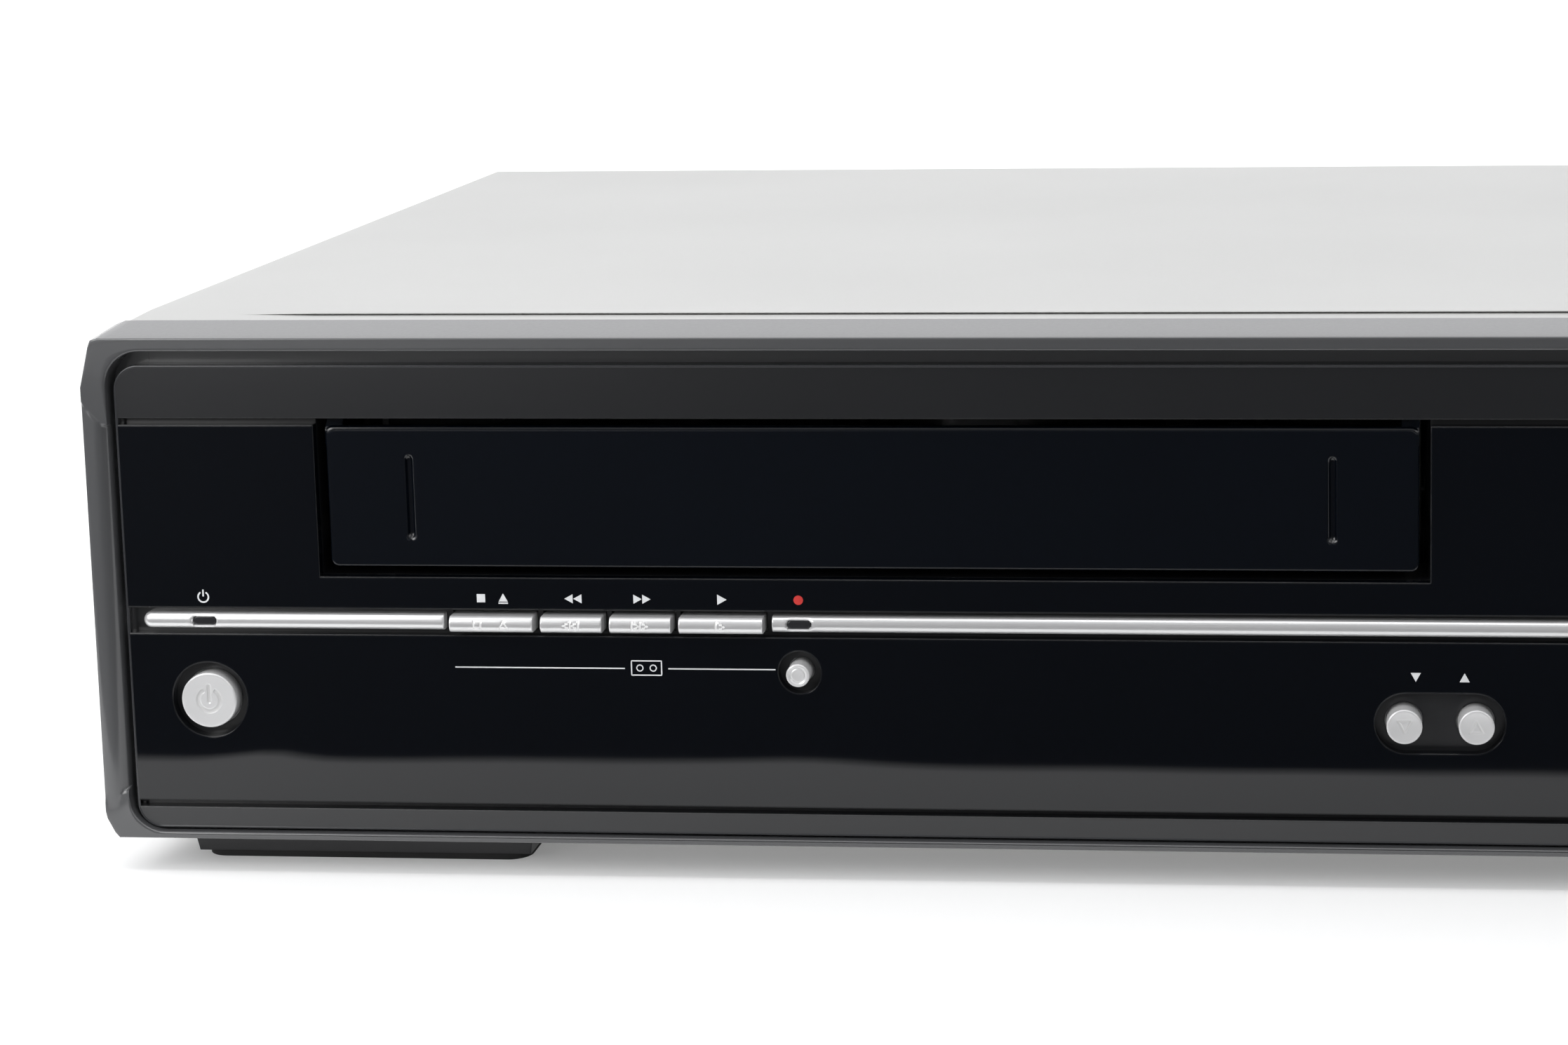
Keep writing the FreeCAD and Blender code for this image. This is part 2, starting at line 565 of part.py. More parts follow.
bezel_block = extruded("bezel_block", "XZ", [
    ("-half + heel_in", "foot_height"), ("half - heel_in", "foot_height"),
    ("half", "foot_height + heel_rise"), ("half", "bezel_top - corner_drop"),
    ("half - corner_in", "bezel_top"), ("-half + corner_in", "bezel_top"),
    ("-half", "bezel_top - corner_drop"), ("-half", "foot_height + heel_rise"),
], "face", "inner_y", draft="bezel_draft")
bezel_recess = rounded("bezel_recess", "Y", ("-half + frame_side", "half - frame_side"),
                       ("face - 1", "skin_back"), ("frame_low", "frame_high"), "frame_round")
bezel_ledge = box("bezel_ledge", ("-half + frame_side + ledge_wide", "half - frame_side - ledge_wide"),
                  ("skin_back - 1", "skin_back + ledge_thick + 1"),
                  ("frame_low + ledge_wide", "frame_high - ledge_wide"))
bezel_back = box("bezel_back", ("-half + bezel_wall", "half - bezel_wall"),
                 ("skin_back + ledge_thick", "inner_y + 1"),
                 ("foot_height + bezel_wall", "bezel_top - bezel_wall"))
column_y = "face + column_set + column_round"
column_z = ("foot_height + column_low", "bezel_top - column_high")
column_cuts = []
for word, inside, sign in (("left", "(-half + frame_side)", "-"), ("right", "(half - frame_side)", "+")):
    middle = f"{inside} {sign} column_round"
    beyond = f"{inside} {'+' if sign == '-' else '-'} 0.1"
    outer = f"{sign}half {sign} 2"
    column_cuts.append(box("column_face_" + word, (outer, beyond) if sign == "-" else (beyond, outer),
                           ("face - 1", "face + column_set"), column_z))
    corner = box("column_corner_" + word, (middle, beyond) if sign == "-" else (beyond, middle),
                 ("face - 1", column_y), column_z)
    column_cuts.append(less("column_edge_" + word, corner, rod(
        "column_rod_" + word, "Z", (middle, column_y, f"{column_z[0]} - 1"), "column_round",
        f"{column_z[1]} - ({column_z[0]}) + 2")))
bezel_tab = box("bezel_tab", ("-half + tab_in", "-half + tab_in + tab_wide"), ("face + 1", "face + 4"),
                ("foot_height - tab_drop", "foot_height + 1"))
bezel_ring = less("bezel_ring", bezel_block, bezel_recess, bezel_ledge, bezel_back, *column_cuts)
piece("front_bezel", fused("front_bezel", bezel_ring, bezel_tab))


# Keys in the strip's channel, and round buttons: each has a flange behind the panel and a stem to its switch

KEYS = {
    "stop_eject_key": ("-half + key_first", "key_wide"),
    "rewind_key": ("-half + key_second", "key_narrow"),
    "forward_key": ("-half + key_third", "key_narrow"),
    "play_key": ("-half + key_fourth", "key_wide"),
    "disc_open_key": ("half - key_end", "key_wide"),
    "disc_stop_key": ("half - key_third - key_narrow", "key_narrow"),
    "disc_skip_key": ("half - key_second - key_narrow", "key_narrow"),
    "disc_play_key": ("half - key_first - key_wide", "key_wide"),
}
BUTTONS = {
    "power_button": ("-half + power_in", "low_field_z + power_up", "power_round", "power_set"),
    "record_button": ("-half + record_in", "low_field_z + record_up", "record_round", "button_set"),
    "disc_record_button": ("half - record_in", "low_field_z + record_up", "record_round", "button_set"),
    "program_down_button": ("-half + program_in - program_apart / 2", "low_field_z + program_up",
                            "program_round", "button_set"),
    "program_up_button": ("-half + program_in + program_apart / 2", "low_field_z + program_up",
                          "program_round", "button_set"),
}
key_slots = []
switches = []


def switch(name, x, z):
    """A key switch on the front board, with its round tip."""
    switches.append(box(name + "_switch", (f"{x} - 3", f"{x} + 3"), ("board_y - switch_body", "board_y"),
                        (f"{z} - 3", f"{z} + 3")))
    switches.append(rod(name + "_tip", "Y", (x, "switch_y", z), "1.6", "board_y - switch_y"))


for name, (start, wide) in KEYS.items():
    across = (start, f"{start} + {wide}")
    middle = f"{start} + {wide} / 2"
    cap = extruded(name + "_cap", "YZ", [
        ("flange_y + flange_thick / 2", "strip_z"), ("face + key_set", "strip_z"),
        ("face + key_set", "strip_z + strip_high"), ("flange_y + flange_thick / 2", "strip_z + strip_high"),
    ], *across, soften=((1, 2), "strip_round"))
    flange = box(name + "_flange", across, ("flange_y", "flange_y + flange_thick"),
                 ("strip_z - key_flange", "strip_z + strip_high + key_flange"))
    stem = box(name + "_stem", (f"{middle} - 1.5", f"{middle} + 1.5"), ("flange_y", "stem_end"),
               ("key_z - 1.2", "key_z + 1.2"))
    piece(name, fused(name, cap, flange, stem))
    key_slots.append(box(name + "_slot", (f"{start} - key_play", f"{start} + {wide} + key_play"),
                         ("skin_front - 0.5", "skin_back + 0.5"),
                         ("strip_z - key_play", "strip_z + strip_high + key_play")))
    switch(name, middle, "key_z")

for name, (x, z, radius, proud) in BUTTONS.items():
    front = f"(face + {proud})"
    piece(name, turned(name, [
        ("0", f"stem_end - {front}"), ("0", "0.35"), (f"{radius} * 0.7", "0.15"), (f"{radius} - 0.3", "0"),
        (radius, "0.3"), (radius, f"flange_y - {front}"), (f"{radius} + key_flange", f"flange_y - {front}"),
        (f"{radius} + key_flange", f"flange_y + flange_thick - {front}"),
        ("stem_round * 0.8", f"flange_y + flange_thick - {front}"), ("stem_round * 0.8", f"stem_end - {front}"),
    ], (x, front, z), "Y"))
    key_slots.append(rod(name + "_hole", "Y", (x, "skin_front - 0.5", z), f"{radius} + key_play",
                         "skin_back - skin_front + 1"))
    switch(name, x, z)


# Panel moulding: satin bands above and below, a floor behind the glossy plates, and the cassette opening's walls

through = ("gloss_face - 1", "skin_back + 1")
mouth_cut = box("mouth_cut", ("mouth_x", "mouth_end"), ("gloss_face - 1", "face + mouth_depth + 1"),
                ("mouth_low", "band_z"))
door_cut = box("door_cut", ("tray_mid - door_half - door_gap", "tray_mid + door_half + door_gap"), through,
               ("door_z - door_gap", "door_z + door_high + door_gap"))
jack_x = "(half - jack_in)"
jack_z = "(low_field_z + jack_up)"
jack_cut = rounded("jack_cut", "Y", (f"{jack_x} - jack_wide / 2", f"{jack_x} + jack_wide / 2"), through,
                   (f"{jack_z} - jack_high / 2", f"{jack_z} + jack_high / 2"), "2")
display_across = ("tray_mid - door_half", "tray_mid + door_half")
display_up = ("display_z", "display_z + display_high")
panel_block = rounded("panel_block", "Y", ("-panel_half", "panel_half"), ("gloss_face", "skin_back"),
                      ("panel_low", "panel_high"), "panel_round")
field_cut = box("field_cut", ("-panel_half - 1", "panel_half + 1"), ("gloss_face - 1", "skin_front"),
                ("panel_low + low_band", "band_z"))
display_sight = box("display_sight", ("tray_mid - door_half + 1", "tray_mid + door_half - 1"), through,
                    ("display_z + 1", "display_z + display_high - 1"))
mouth_block = box("mouth_block", ("mouth_x - mouth_wall", "mouth_end + mouth_wall"),
                  ("skin_back - 0.5", "face + mouth_depth"), ("mouth_low - mouth_wall", "mouth_roof + mouth_wall"))
mouth_room = box("mouth_room", ("mouth_x", "mouth_end"), ("skin_front", "face + mouth_depth + 1"),
                 ("band_z - 1", "mouth_roof"))
hinge_holes = rod("hinge_holes", "X", ("mouth_x - mouth_wall - 1", "hinge_y", "hinge_z"), "hinge_pin + hinge_play",
                  "mouth_wide + 2 * mouth_wall + 2")
board_bosses = [
    rod(f"board_boss_{number}", "Y", (x, "skin_back - 0.5", "pan_top + board_rise + 4"), "2.5",
        "board_y - skin_back + 0.5")
    for number, x in enumerate(["-half + board_in + 8", "-half * 0.3", "half * 0.3", "half - board_in - 8"], 1)
]
panel_shape = fused("panel_shape", less("panel_floor", panel_block, field_cut), mouth_block, *board_bosses)
piece("fascia_body", less("fascia_body", panel_shape, mouth_cut, mouth_room, hinge_holes, door_cut, display_sight,
                          jack_cut, *key_slots))

# Glossy plates on the moulding's floor; the lower one curves back to its foot

high_plate = box("high_plate", ("-panel_half", "panel_half"), ("gloss_face", "skin_front"),
                 ("high_field_z", "high_field_z + high_field"))
display_hole = box("display_hole", display_across, through, display_up)
piece("gloss_upper", less("gloss_upper", high_plate, mouth_cut, door_cut, display_hole))

low_plate = extruded("low_plate", "YZ", [
    ("skin_front", "low_field_z"), ("gloss_face + belly", "low_field_z"),
    ("gloss_face + belly * 0.5", "low_field_z + low_field * 0.1"),
    ("gloss_face + belly * 0.17", "low_field_z + low_field * 0.22"),
    ("gloss_face", "low_field_z + low_field * 0.38"), ("gloss_face", "channel_z"), ("skin_front", "channel_z"),
], "-panel_half", "panel_half")
dishes = [
    rod("power_recess", "Y", ("-half + power_in", "gloss_face - 1", "low_field_z + power_up"), "power_dish",
        "gloss_thick + 2"),
    rod("record_recess", "Y", ("-half + record_in", "gloss_face - 1", "low_field_z + record_up"), "record_dish",
        "gloss_thick + 2"),
    rod("disc_record_recess", "Y", ("half - record_in", "gloss_face - 1", "low_field_z + record_up"), "record_dish",
        "gloss_thick + 2"),
    rounded("program_recess", "Y", ("-half + program_in - pill_wide / 2", "-half + program_in + pill_wide / 2"),
            through, ("low_field_z + program_up - pill_high / 2", "low_field_z + program_up + pill_high / 2"),
            "pill_high / 2 - 0.01"),
]
piece("gloss_lower", less("gloss_lower", low_plate, jack_cut, *dishes))
piece("display_window", box("display_window", display_across, ("gloss_face", "skin_front"), display_up))
piece("display_tube", box("display_tube", ("tray_mid - door_half + 4", "tray_mid + door_half - 4"),
                          ("skin_back", "skin_back + 5"), ("display_z - 1", "display_z + display_high + 1")))

# Silver strip in three lengths, with small lenses let into it


def strip_length(name, low, high):
    return extruded(name, "YZ", [
        ("skin_front", "strip_z"), ("face + strip_set", "strip_z"),
        ("face + strip_set", "strip_z + strip_high"), ("skin_front", "strip_z + strip_high"),
    ], low, high, soften=((1, 2), "strip_round"))


def lens(name, middle):
    return box(name, (f"{middle} - lamp_wide / 2", f"{middle} + lamp_wide / 2"), ("face + strip_set", "skin_front"),
               ("key_z - lamp_high / 2", "key_z + lamp_high / 2"))


lamp_left = lens("lamp_left", "-half + lamp_in")
lamp_middle = lens("lamp_middle", "-half + key_end + key_gap + lamp_after")
lamp_right = lens("lamp_right", "half - lamp_in")
left_length = strip_length("left_length", "-half + strip_in", "-half + key_first - key_gap")
right_length = strip_length("right_length", "half - key_first + key_gap", "half - strip_in")
middle_length = strip_length("middle_length", "-half + key_end + key_gap", "half - key_end - key_gap")
piece("strip_ends", several("strip_ends", less("left_strip", left_length, lamp_left),
                            less("right_strip", right_length, lamp_right)))
piece("strip_middle", less("strip_middle", middle_length, lamp_middle))
piece("indicator_lenses", several("indicator_lenses", lamp_left, lamp_middle, lamp_right))

# Front board with its switches, and the front jacks before it

board = box("board", ("-half + board_in", "half - board_in"), ("board_y", "board_y + board_thick"),
            ("pan_top + board_rise", "board_high"))
piece("front_board", fused("front_board", board, *switches))
jack_spots = [f"({jack_x} - jack_wide / 2 + {step})" for step in (9, 25, 41, 57)]
jack_block = box("jack_block", (f"{jack_x} - jack_wide / 2 - 1", f"{jack_x} + jack_wide / 2 + 1"),
                 ("board_y - 3", "board_y"), (f"{jack_z} - jack_high / 2 - 1", f"{jack_z} + jack_high / 2 + 1"))
jack_shells = [rod(f"jack_shell_{number}", "Y", (spot, "gloss_face + 0.5", jack_z), "phono_round",
                   "board_y - gloss_face - 1") for number, spot in enumerate(jack_spots, 1)]
jack_bores = [rod(f"jack_bore_{number}", "Y", (spot, "gloss_face", jack_z), "phono_bore", "8")
              for number, spot in enumerate(jack_spots, 1)]
piece("front_jacks", less("front_jacks", fused("jack_row", jack_block, *jack_shells), *jack_bores))

# Cassette flap: hangs on two pins behind the top band and swings inward

flap_x = ("mouth_x + flap_gap", "mouth_end - flap_gap")
flap_plate = rounded("flap_plate", "Y", flap_x, ("face + flap_set", "face + flap_set + flap_thick"),
                     ("flap_low", "flap_high"), "1.3")
notches = [
    box(f"notch_{number}", (f"{x} - notch_wide / 2", f"{x} + notch_wide / 2"),
        ("face + flap_set - 1", "face + flap_set + 0.7"),
        ("(flap_low + flap_high) / 2 - notch_high / 2", "(flap_low + flap_high) / 2 + notch_high / 2"))
    for number, x in enumerate([f"({flap_x[0]} + notch_in)", f"({flap_x[1]} - notch_in)"], 1)
]
lugs = []
for number, (low, pin_low, pin_high) in enumerate([
        (flap_x[0], "mouth_x - mouth_wall * 0.8", f"{flap_x[0]} + 1"),
        (f"{flap_x[1]} - lug_wide", f"{flap_x[1]} - 1", "mouth_end + mouth_wall * 0.8")], 1):
    lugs.append(extruded(f"lug_arm_{number}", "YZ", [
        ("face + flap_set + 0.2", "flap_high - 3"), ("face + flap_set + flap_thick", "flap_high - 5"),
        ("hinge_y + lug_round * 0.9", "hinge_z"), ("hinge_y - lug_round * 0.9", "hinge_z"),
        ("hinge_y - lug_round", "band_z - 0.4"), ("face + flap_set + 0.2", "flap_high - 0.8"),
    ], low, f"{low} + lug_wide"))
    lugs.append(rod(f"lug_boss_{number}", "X", (low, "hinge_y", "hinge_z"), "lug_round", "lug_wide"))
    lugs.append(rod(f"hinge_pin_{number}", "X", (pin_low, "hinge_y", "hinge_z"), "hinge_pin",
                    f"{pin_high} - ({pin_low})"))
piece("cassette_flap", less("cassette_flap", fused("flap_shape", flap_plate, *lugs), *notches))

# Pan, cover, rear panel and feet

deck_posts_x = ["mouth_mid - deck_half", "mouth_mid + deck_half - post_side"]
deck_posts_y = ["deck_y", "deck_y + deck_long - post_side"]
board_spots = [("half - main_in - main_wide + 4", "power_y + 4"), ("half - main_in - 4", "power_y + 4"),
               ("half - main_in - main_wide + 4", "power_y + power_long - 4"),
               ("half - main_in - 4", "power_y + power_long - 4"),
               ("half - main_in - main_wide + 4", "main_y + 4"), ("half - main_in - 4", "main_y + 4"),
               ("half - main_in - main_wide + 4", "main_y + main_long - 4"),
               ("half - main_in - 4", "main_y + main_long - 4")]
pan_floor = box("pan_floor", ("-pan_half", "pan_half"), ("inner_y", "rear"), ("pan_z", "pan_top"))
pan_sides = [
    box("pan_left", ("-pan_half", "-pan_half + pan_sheet"), ("inner_y", "rear_in"), ("pan_z", "pan_z + pan_wall")),
    box("pan_right", ("pan_half - pan_sheet", "pan_half"), ("inner_y", "rear_in"), ("pan_z", "pan_z + pan_wall")),
]
board_stands = [rod(f"board_stand_{number}", "Z", (x, y, "pan_top - 0.5"), "bolt_boss", "boss_rise + 0.5")
                for number, (x, y) in enumerate(board_spots, 1)]
screw_spots = [("face + 60", "pan_z + 9"), ("rear - 60", "pan_z + 9")]
screw_holes = [rod(f"screw_hole_{number}", "X", ("-cover_half - 1", y, z), "screw_round + 0.2", "2 * cover_half + 2")
               for number, (y, z) in enumerate(screw_spots, 1)]
floor_vents = [box(f"floor_vent_{number}", ("half * 0.35", "half * 0.75"),
                   (f"main_y + 14 + {number} * 9", f"main_y + 17 + {number} * 9"), ("pan_z - 1", "pan_top + 1"))
               for number in range(8)]
piece("chassis", less("chassis", fused("pan", pan_floor, *pan_sides, *board_stands), *screw_holes, *floor_vents))

cover = extruded("cover_shell", "XZ", [
    ("-cover_half", "pan_z + cover_lap"), ("-cover_half", "cover_top"), ("cover_half", "cover_top"),
    ("cover_half", "pan_z + cover_lap"), ("cover_half - cover_sheet", "pan_z + cover_lap"),
    ("cover_half - cover_sheet", "cover_top - cover_sheet"), ("-cover_half + cover_sheet", "cover_top - cover_sheet"),
    ("-cover_half + cover_sheet", "pan_z + cover_lap"),
], "inner_y", "rear", soften=((1, 2), "cover_bend"))
vent_outline = outline(cover, "vent_outline", "YZ", [
    ("rear - 30", "pan_top + vent_up"), ("rear - 30 + vent_wide", "pan_top + vent_up"),
    ("rear - 30 + vent_wide", "pan_top + vent_up + vent_high"), ("rear - 30", "pan_top + vent_up + vent_high"),
])
vent = cover.newObject("PartDesign::Pocket", "vent")
vent.Profile = vent_outline
vent.Midplane = True
bind(vent, "Length", "2 * case_width")
vents = cover.newObject("PartDesign::LinearPattern", "vents")
vents.Originals = [vent]
vents.Direction = (vent_outline, ["H_Axis"])
vents.Reversed = True
vents.Occurrences = 12
bind(vents, "Length", "11 * vent_pitch")
cover.Tip = vents
piece("top_cover", less("top_cover", cover, *screw_holes))

screws = []
for number, (y, z) in enumerate(screw_spots, 1):
    for side, start, stop in (("left", "-cover_half - 1.2", "-cover_half + 4"), ("right", "cover_half - 4", "cover_half + 1.2")):
        head_start = "-cover_half - 1.2" if side == "left" else "cover_half"
        screws.append(fused(f"screw_{side}_{number}",
                            rod(f"screw_shank_{side}_{number}", "X", (start, y, z), "screw_round", f"{stop} - ({start})"),
                            rod(f"screw_head_{side}_{number}", "X", (head_start, y, z), "screw_head", "1.2")))
piece("cover_screws", several("cover_screws", *screws))

feet = []
pads = []
for number, (side, front, toe) in enumerate([
        ("left", "inner_y + foot_gap", "face + foot_set"), ("right", "inner_y + foot_gap", "face + foot_set"),
        ("left", "rear - foot_rear - foot_deep", None), ("right", "rear - foot_rear - foot_deep", None)], 1):
    low = "-half + foot_in" if side == "left" else "half - foot_in - foot_wide"
    back = f"{front} + foot_deep"
    foot = extruded(f"foot_{number}", "XY", [(low, front), (f"{low} + foot_wide", front), (f"{low} + foot_wide", back),
                                             (low, back)], "pad_thick", "pan_z", draft="foot_draft")
    if toe:
        foot = fused(f"foot_with_toe_{number}", foot, extruded(f"toe_{number}", "XY", [
            (low, toe), (f"{low} + foot_wide", toe), (f"{low} + foot_wide", f"{front} + 8"), (low, f"{front} + 8"),
        ], "pad_thick", "foot_height - toe_gap", draft="foot_draft"))
    feet.append(foot)
    pads.append(rounded(f"pad_{number}", "Z", (f"{low} + 0.6", f"{low} + foot_wide - 0.6"),
                        (f"{toe or front} + 0.6", f"{back} - 0.6"), ("0", "pad_thick"), "foot_round"))
piece("feet", several("feet", *feet))
piece("foot_pads", several("foot_pads", *pads))


# Cassette deck: plate on four posts, with the posts of the reels and of the pinch arm, and the capstan's bearing

reel_spots = {"supply_reel": "mouth_mid - reel_apart / 2", "takeup_reel": "mouth_mid + reel_apart / 2"}
deck_plate = rounded("deck_sheet_plate", "Z", ("mouth_mid - deck_half", "mouth_mid + deck_half"),
                     ("deck_y", "deck_y + deck_long"), ("deck_z", "deck_top"), "3")
deck_posts = [box(f"deck_post_{number}", (x, f"{x} + post_side"), (y, f"{y} + post_side"), ("pan_top", "deck_z + 0.5"))
              for number, (x, y) in enumerate([(x, y) for x in deck_posts_x for y in deck_posts_y], 1)]
reel_posts = []
for name, x in reel_spots.items():
    reel_posts.append(rod(name + "_post", "Z", (x, "reel_y", "deck_z"), "reel_pin",
                          "deck_sheet + reel_stand + reel_rise - 1"))
    reel_posts.append(rod(name + "_washer", "Z", (x, "reel_y", "deck_z"), "5", "deck_sheet + 0.7"))
arm_posts = [
    rod("arm_post", "Z", ("arm_x", "arm_y", "deck_z"), "arm_post", "deck_sheet + arm_up + arm_thick + 1"),
    rod("arm_shoulder", "Z", ("arm_x", "arm_y", "deck_z"), "3.4", "deck_sheet + arm_up - 0.3"),
]
bearing = rod("bearing", "Z", ("capstan_x", "capstan_y", "deck_z"), "bearing_round", "deck_sheet + bearing_high")
bearing_bore = rod("bearing_bore", "Z", ("capstan_x", "capstan_y", "deck_z - 1"), "capstan_round + hinge_play",
                   "deck_sheet + bearing_high + 2")
deck_window = rounded("deck_window", "Z", ("mouth_mid - 18", "mouth_mid + 18"), ("reel_y - 45", "reel_y - 15"),
                      ("deck_z - 1", "deck_top + 1"), "3")
piece("deck_plate", less("deck_plate", fused("deck_shape", deck_plate, *deck_posts, *reel_posts, *arm_posts, bearing),
                         bearing_bore, deck_window))

# Reel tables: a drive disc, a hub and three splines that catch the cassette's reel

for name, x in reel_spots.items():
    bore = "(reel_pin + hinge_play)"
    hub_top = "(reel_stand + reel_rise)"
    table = turned(name + "_table", [
        (bore, "1"), ("reel_round", "1"), ("reel_round", "1 + reel_thick"), ("reel_hub + 3", "1 + reel_thick"),
        ("reel_hub + 3", "reel_stand - 0.6"), ("reel_hub", "reel_stand - 0.6"), ("reel_hub", f"{hub_top} - 3"),
        ("reel_hub - 2", hub_top), (bore, hub_top),
    ], (x, "reel_y", "deck_top"))
    splines = []
    for turn in range(3):
        spline = several(f"{name}_spline_{turn}", box(f"{name}_rib_{turn}", ("reel_hub - 1", "reel_hub + 1.6"),
                                                      ("-0.8", "0.8"), ("deck_top + reel_stand - 1",
                                                                        f"deck_top + {hub_top} - 3.2")))
        spline.Placement = Placement(Vector(), Rotation(Vector(0, 0, 1), 120 * turn))
        bind(spline, "Placement.Base.x", x)
        bind(spline, "Placement.Base.y", "reel_y")
        splines.append(spline)
    piece(name, fused(name, table, *splines))

# Head drum: both halves lean by the same angle; the fixed half is cut level where it stands on the deck


def leaning(made):
    made.Placement = Placement(Vector(), Rotation(Vector(-1, 0, 0), 5))
    bind(made, "Placement.Rotation.Angle", "drum_tilt")
    for base, text in zip("xyz", ("mouth_mid", "drum_y", "deck_top")):
        bind(made, "Placement.Base." + base, text)
    return made


lower_top = "(drum_stand + drum_lower)"
drum_fixed = leaning(turned("drum_fixed", [
    ("0", "-4"), ("drum_round / 2", "-4"), ("drum_round / 2", "drum_stand"), ("drum_round", "drum_stand"),
    ("drum_round", f"{lower_top} - ledge_drop"), ("drum_round - 0.5", f"{lower_top} - ledge_drop"),
    ("drum_round - 0.5", lower_top), ("drum_shaft + hinge_play", lower_top), ("drum_shaft + hinge_play", "7.5"),
    ("0", "7.5"),
], ("mouth_mid", "drum_y", "deck_top")))
drum_level = box("drum_level", ("mouth_mid - drum_round * 2", "mouth_mid + drum_round * 2"),
                 ("drum_y - drum_round * 2", "drum_y + drum_round * 2"), ("deck_top - 20", "deck_top"))
piece("drum_base", less("drum_base", drum_fixed, drum_level))
piece("drum_upper", leaning(turned("drum_upper", [
    ("0", "8"), ("drum_shaft", "8"), ("drum_shaft", f"{lower_top} + drum_gap"),
    ("drum_round - 0.5", f"{lower_top} + drum_gap"),
    ("drum_round - 0.5", f"{lower_top} + drum_gap + drum_upper_high - 1"),
    ("drum_round - 1.5", f"{lower_top} + drum_gap + drum_upper_high"),
    ("drum_round * 0.6", f"{lower_top} + drum_gap + drum_upper_high"),
    ("drum_round * 0.6", f"{lower_top} + drum_gap + drum_upper_high - 3"),
    ("drum_round * 0.3", f"{lower_top} + drum_gap + drum_upper_high - 3"),
    ("drum_round * 0.3", f"{lower_top} + drum_gap + drum_upper_high + 2"),
    ("0", f"{lower_top} + drum_gap + drum_upper_high + 2"),
], ("mouth_mid", "drum_y", "deck_top"))))

# Capstan with its flywheel under the deck, and the pinch arm with its roller

piece("capstan", turned("capstan", [
    ("0", "pan_top + wheel_play"), ("wheel_round", "pan_top + wheel_play"), ("wheel_round", "deck_z - wheel_play"),
    ("capstan_round", "deck_z - wheel_play"), ("capstan_round", "deck_top + capstan_high"),
    ("0", "deck_top + capstan_high"),
], ("capstan_x", "capstan_y", "0")))
arm_z = ("arm_up", "arm_up + arm_thick")
arm_shape = fused(
    "arm_shape",
    box("arm_bar", ("0", "arm_long"), ("-3", "3"), arm_z),
    rod("arm_hub", "Z", ("0", "0", "arm_up"), "arm_post + 2.4", "arm_thick"),
    rod("arm_end", "Z", ("arm_long", "0", "arm_up"), "roller_pin + 2.4", "arm_thick"),
    rod("arm_pin", "Z", ("arm_long", "0", "arm_up"), "roller_pin", "arm_thick + roller_high + 0.8"),
)
arm = less("pinch_arm", arm_shape, rod("arm_bore", "Z", ("0", "0", "arm_up - 1"), "arm_post + hinge_play",
                                       "arm_thick + 2"))
arm.Placement = Placement(Vector(), Rotation(Vector(0, 0, 1), 5))
bind(arm, "Placement.Rotation.Angle", "arm_angle")
for base, text in zip("xyz", ("arm_x", "arm_y", "deck_top")):
    bind(arm, "Placement.Base." + base, text)
piece("pinch_arm", arm)
piece("pinch_roller", turned("pinch_roller", [
    ("roller_pin + hinge_play", "0"), ("roller_round", "0"), ("roller_round", "roller_high"),
    ("roller_pin + hinge_play", "roller_high"),
], ("arm_x + arm_long * cos(arm_angle)", "arm_y + arm_long * sin(arm_angle)",
    "deck_top + arm_up + arm_thick + 0.3")))

# Tape guides, erase head and sound head, all screwed to the deck

guides = [turned(f"guide_{number}", [
    ("0", "0"), ("guide_round + 1.5", "0"), ("guide_round + 1.5", "1.5"), ("guide_round", "1.5"),
    ("guide_round", "guide_high - 2"), ("guide_round + 1", "guide_high - 2"), ("guide_round + 1", "guide_high"),
    ("0", "guide_high"),
], (f"mouth_mid + {x}", f"drum_y - {y}", "deck_top"))
    for number, (x, y) in enumerate([(-58, 28), (-46, 24), (44, 29)], 1)]
heads = [
    box("erase_head", ("mouth_mid - 68", "mouth_mid - 60"), ("drum_y - 24", "drum_y - 15"),
        ("deck_top", "deck_top + guide_high")),
    box("sound_head", ("mouth_mid + 44", "mouth_mid + 51"), ("drum_y - 21", "drum_y - 13"),
        ("deck_top", "deck_top + guide_high + 2")),
]
piece("tape_guides", several("tape_guides", *guides, *heads))

# Loading motor in its cradle, with its worm

motor_x = "mouth_mid - deck_half + 22"
motor_y = "deck_y + deck_long - motor_long - 14"
motor_z = "deck_top + motor_round + 1"
piece("loading_motor", fused(
    "loading_motor",
    rod("motor_can", "Y", (motor_x, motor_y, motor_z), "motor_round", "motor_long"),
    box("motor_cradle", (f"{motor_x} - motor_round * 0.8", f"{motor_x} + motor_round * 0.8"),
        (f"{motor_y} + 3", f"{motor_y} + motor_long - 3"), ("deck_top", motor_z)),
    rod("motor_shaft", "Y", (motor_x, f"{motor_y} - 12", motor_z), "1", "13"),
    rod("motor_worm", "Y", (motor_x, f"{motor_y} - 11", motor_z), "2.6", "9"),
))

# Cassette carriage on its trolley, between two brackets

sides = (("left", -1), ("right", 1))


def side_sheet(name, sign, inside, y, z):
    """An upright sheet at one side of the cassette's middle, from its inside half outwards."""
    near = f"mouth_mid + {sign} * {inside}"
    far = f"mouth_mid + {sign} * ({inside} + carriage_sheet)"
    return box(name, (near, far) if sign > 0 else (far, near), y, z)


def side_rod(name, sign, near, far, y, z, radius):
    low = f"mouth_mid + {sign} * ({near if sign > 0 else far})"
    return rod(name, "X", (low, y, z), radius, f"({far}) - ({near})")


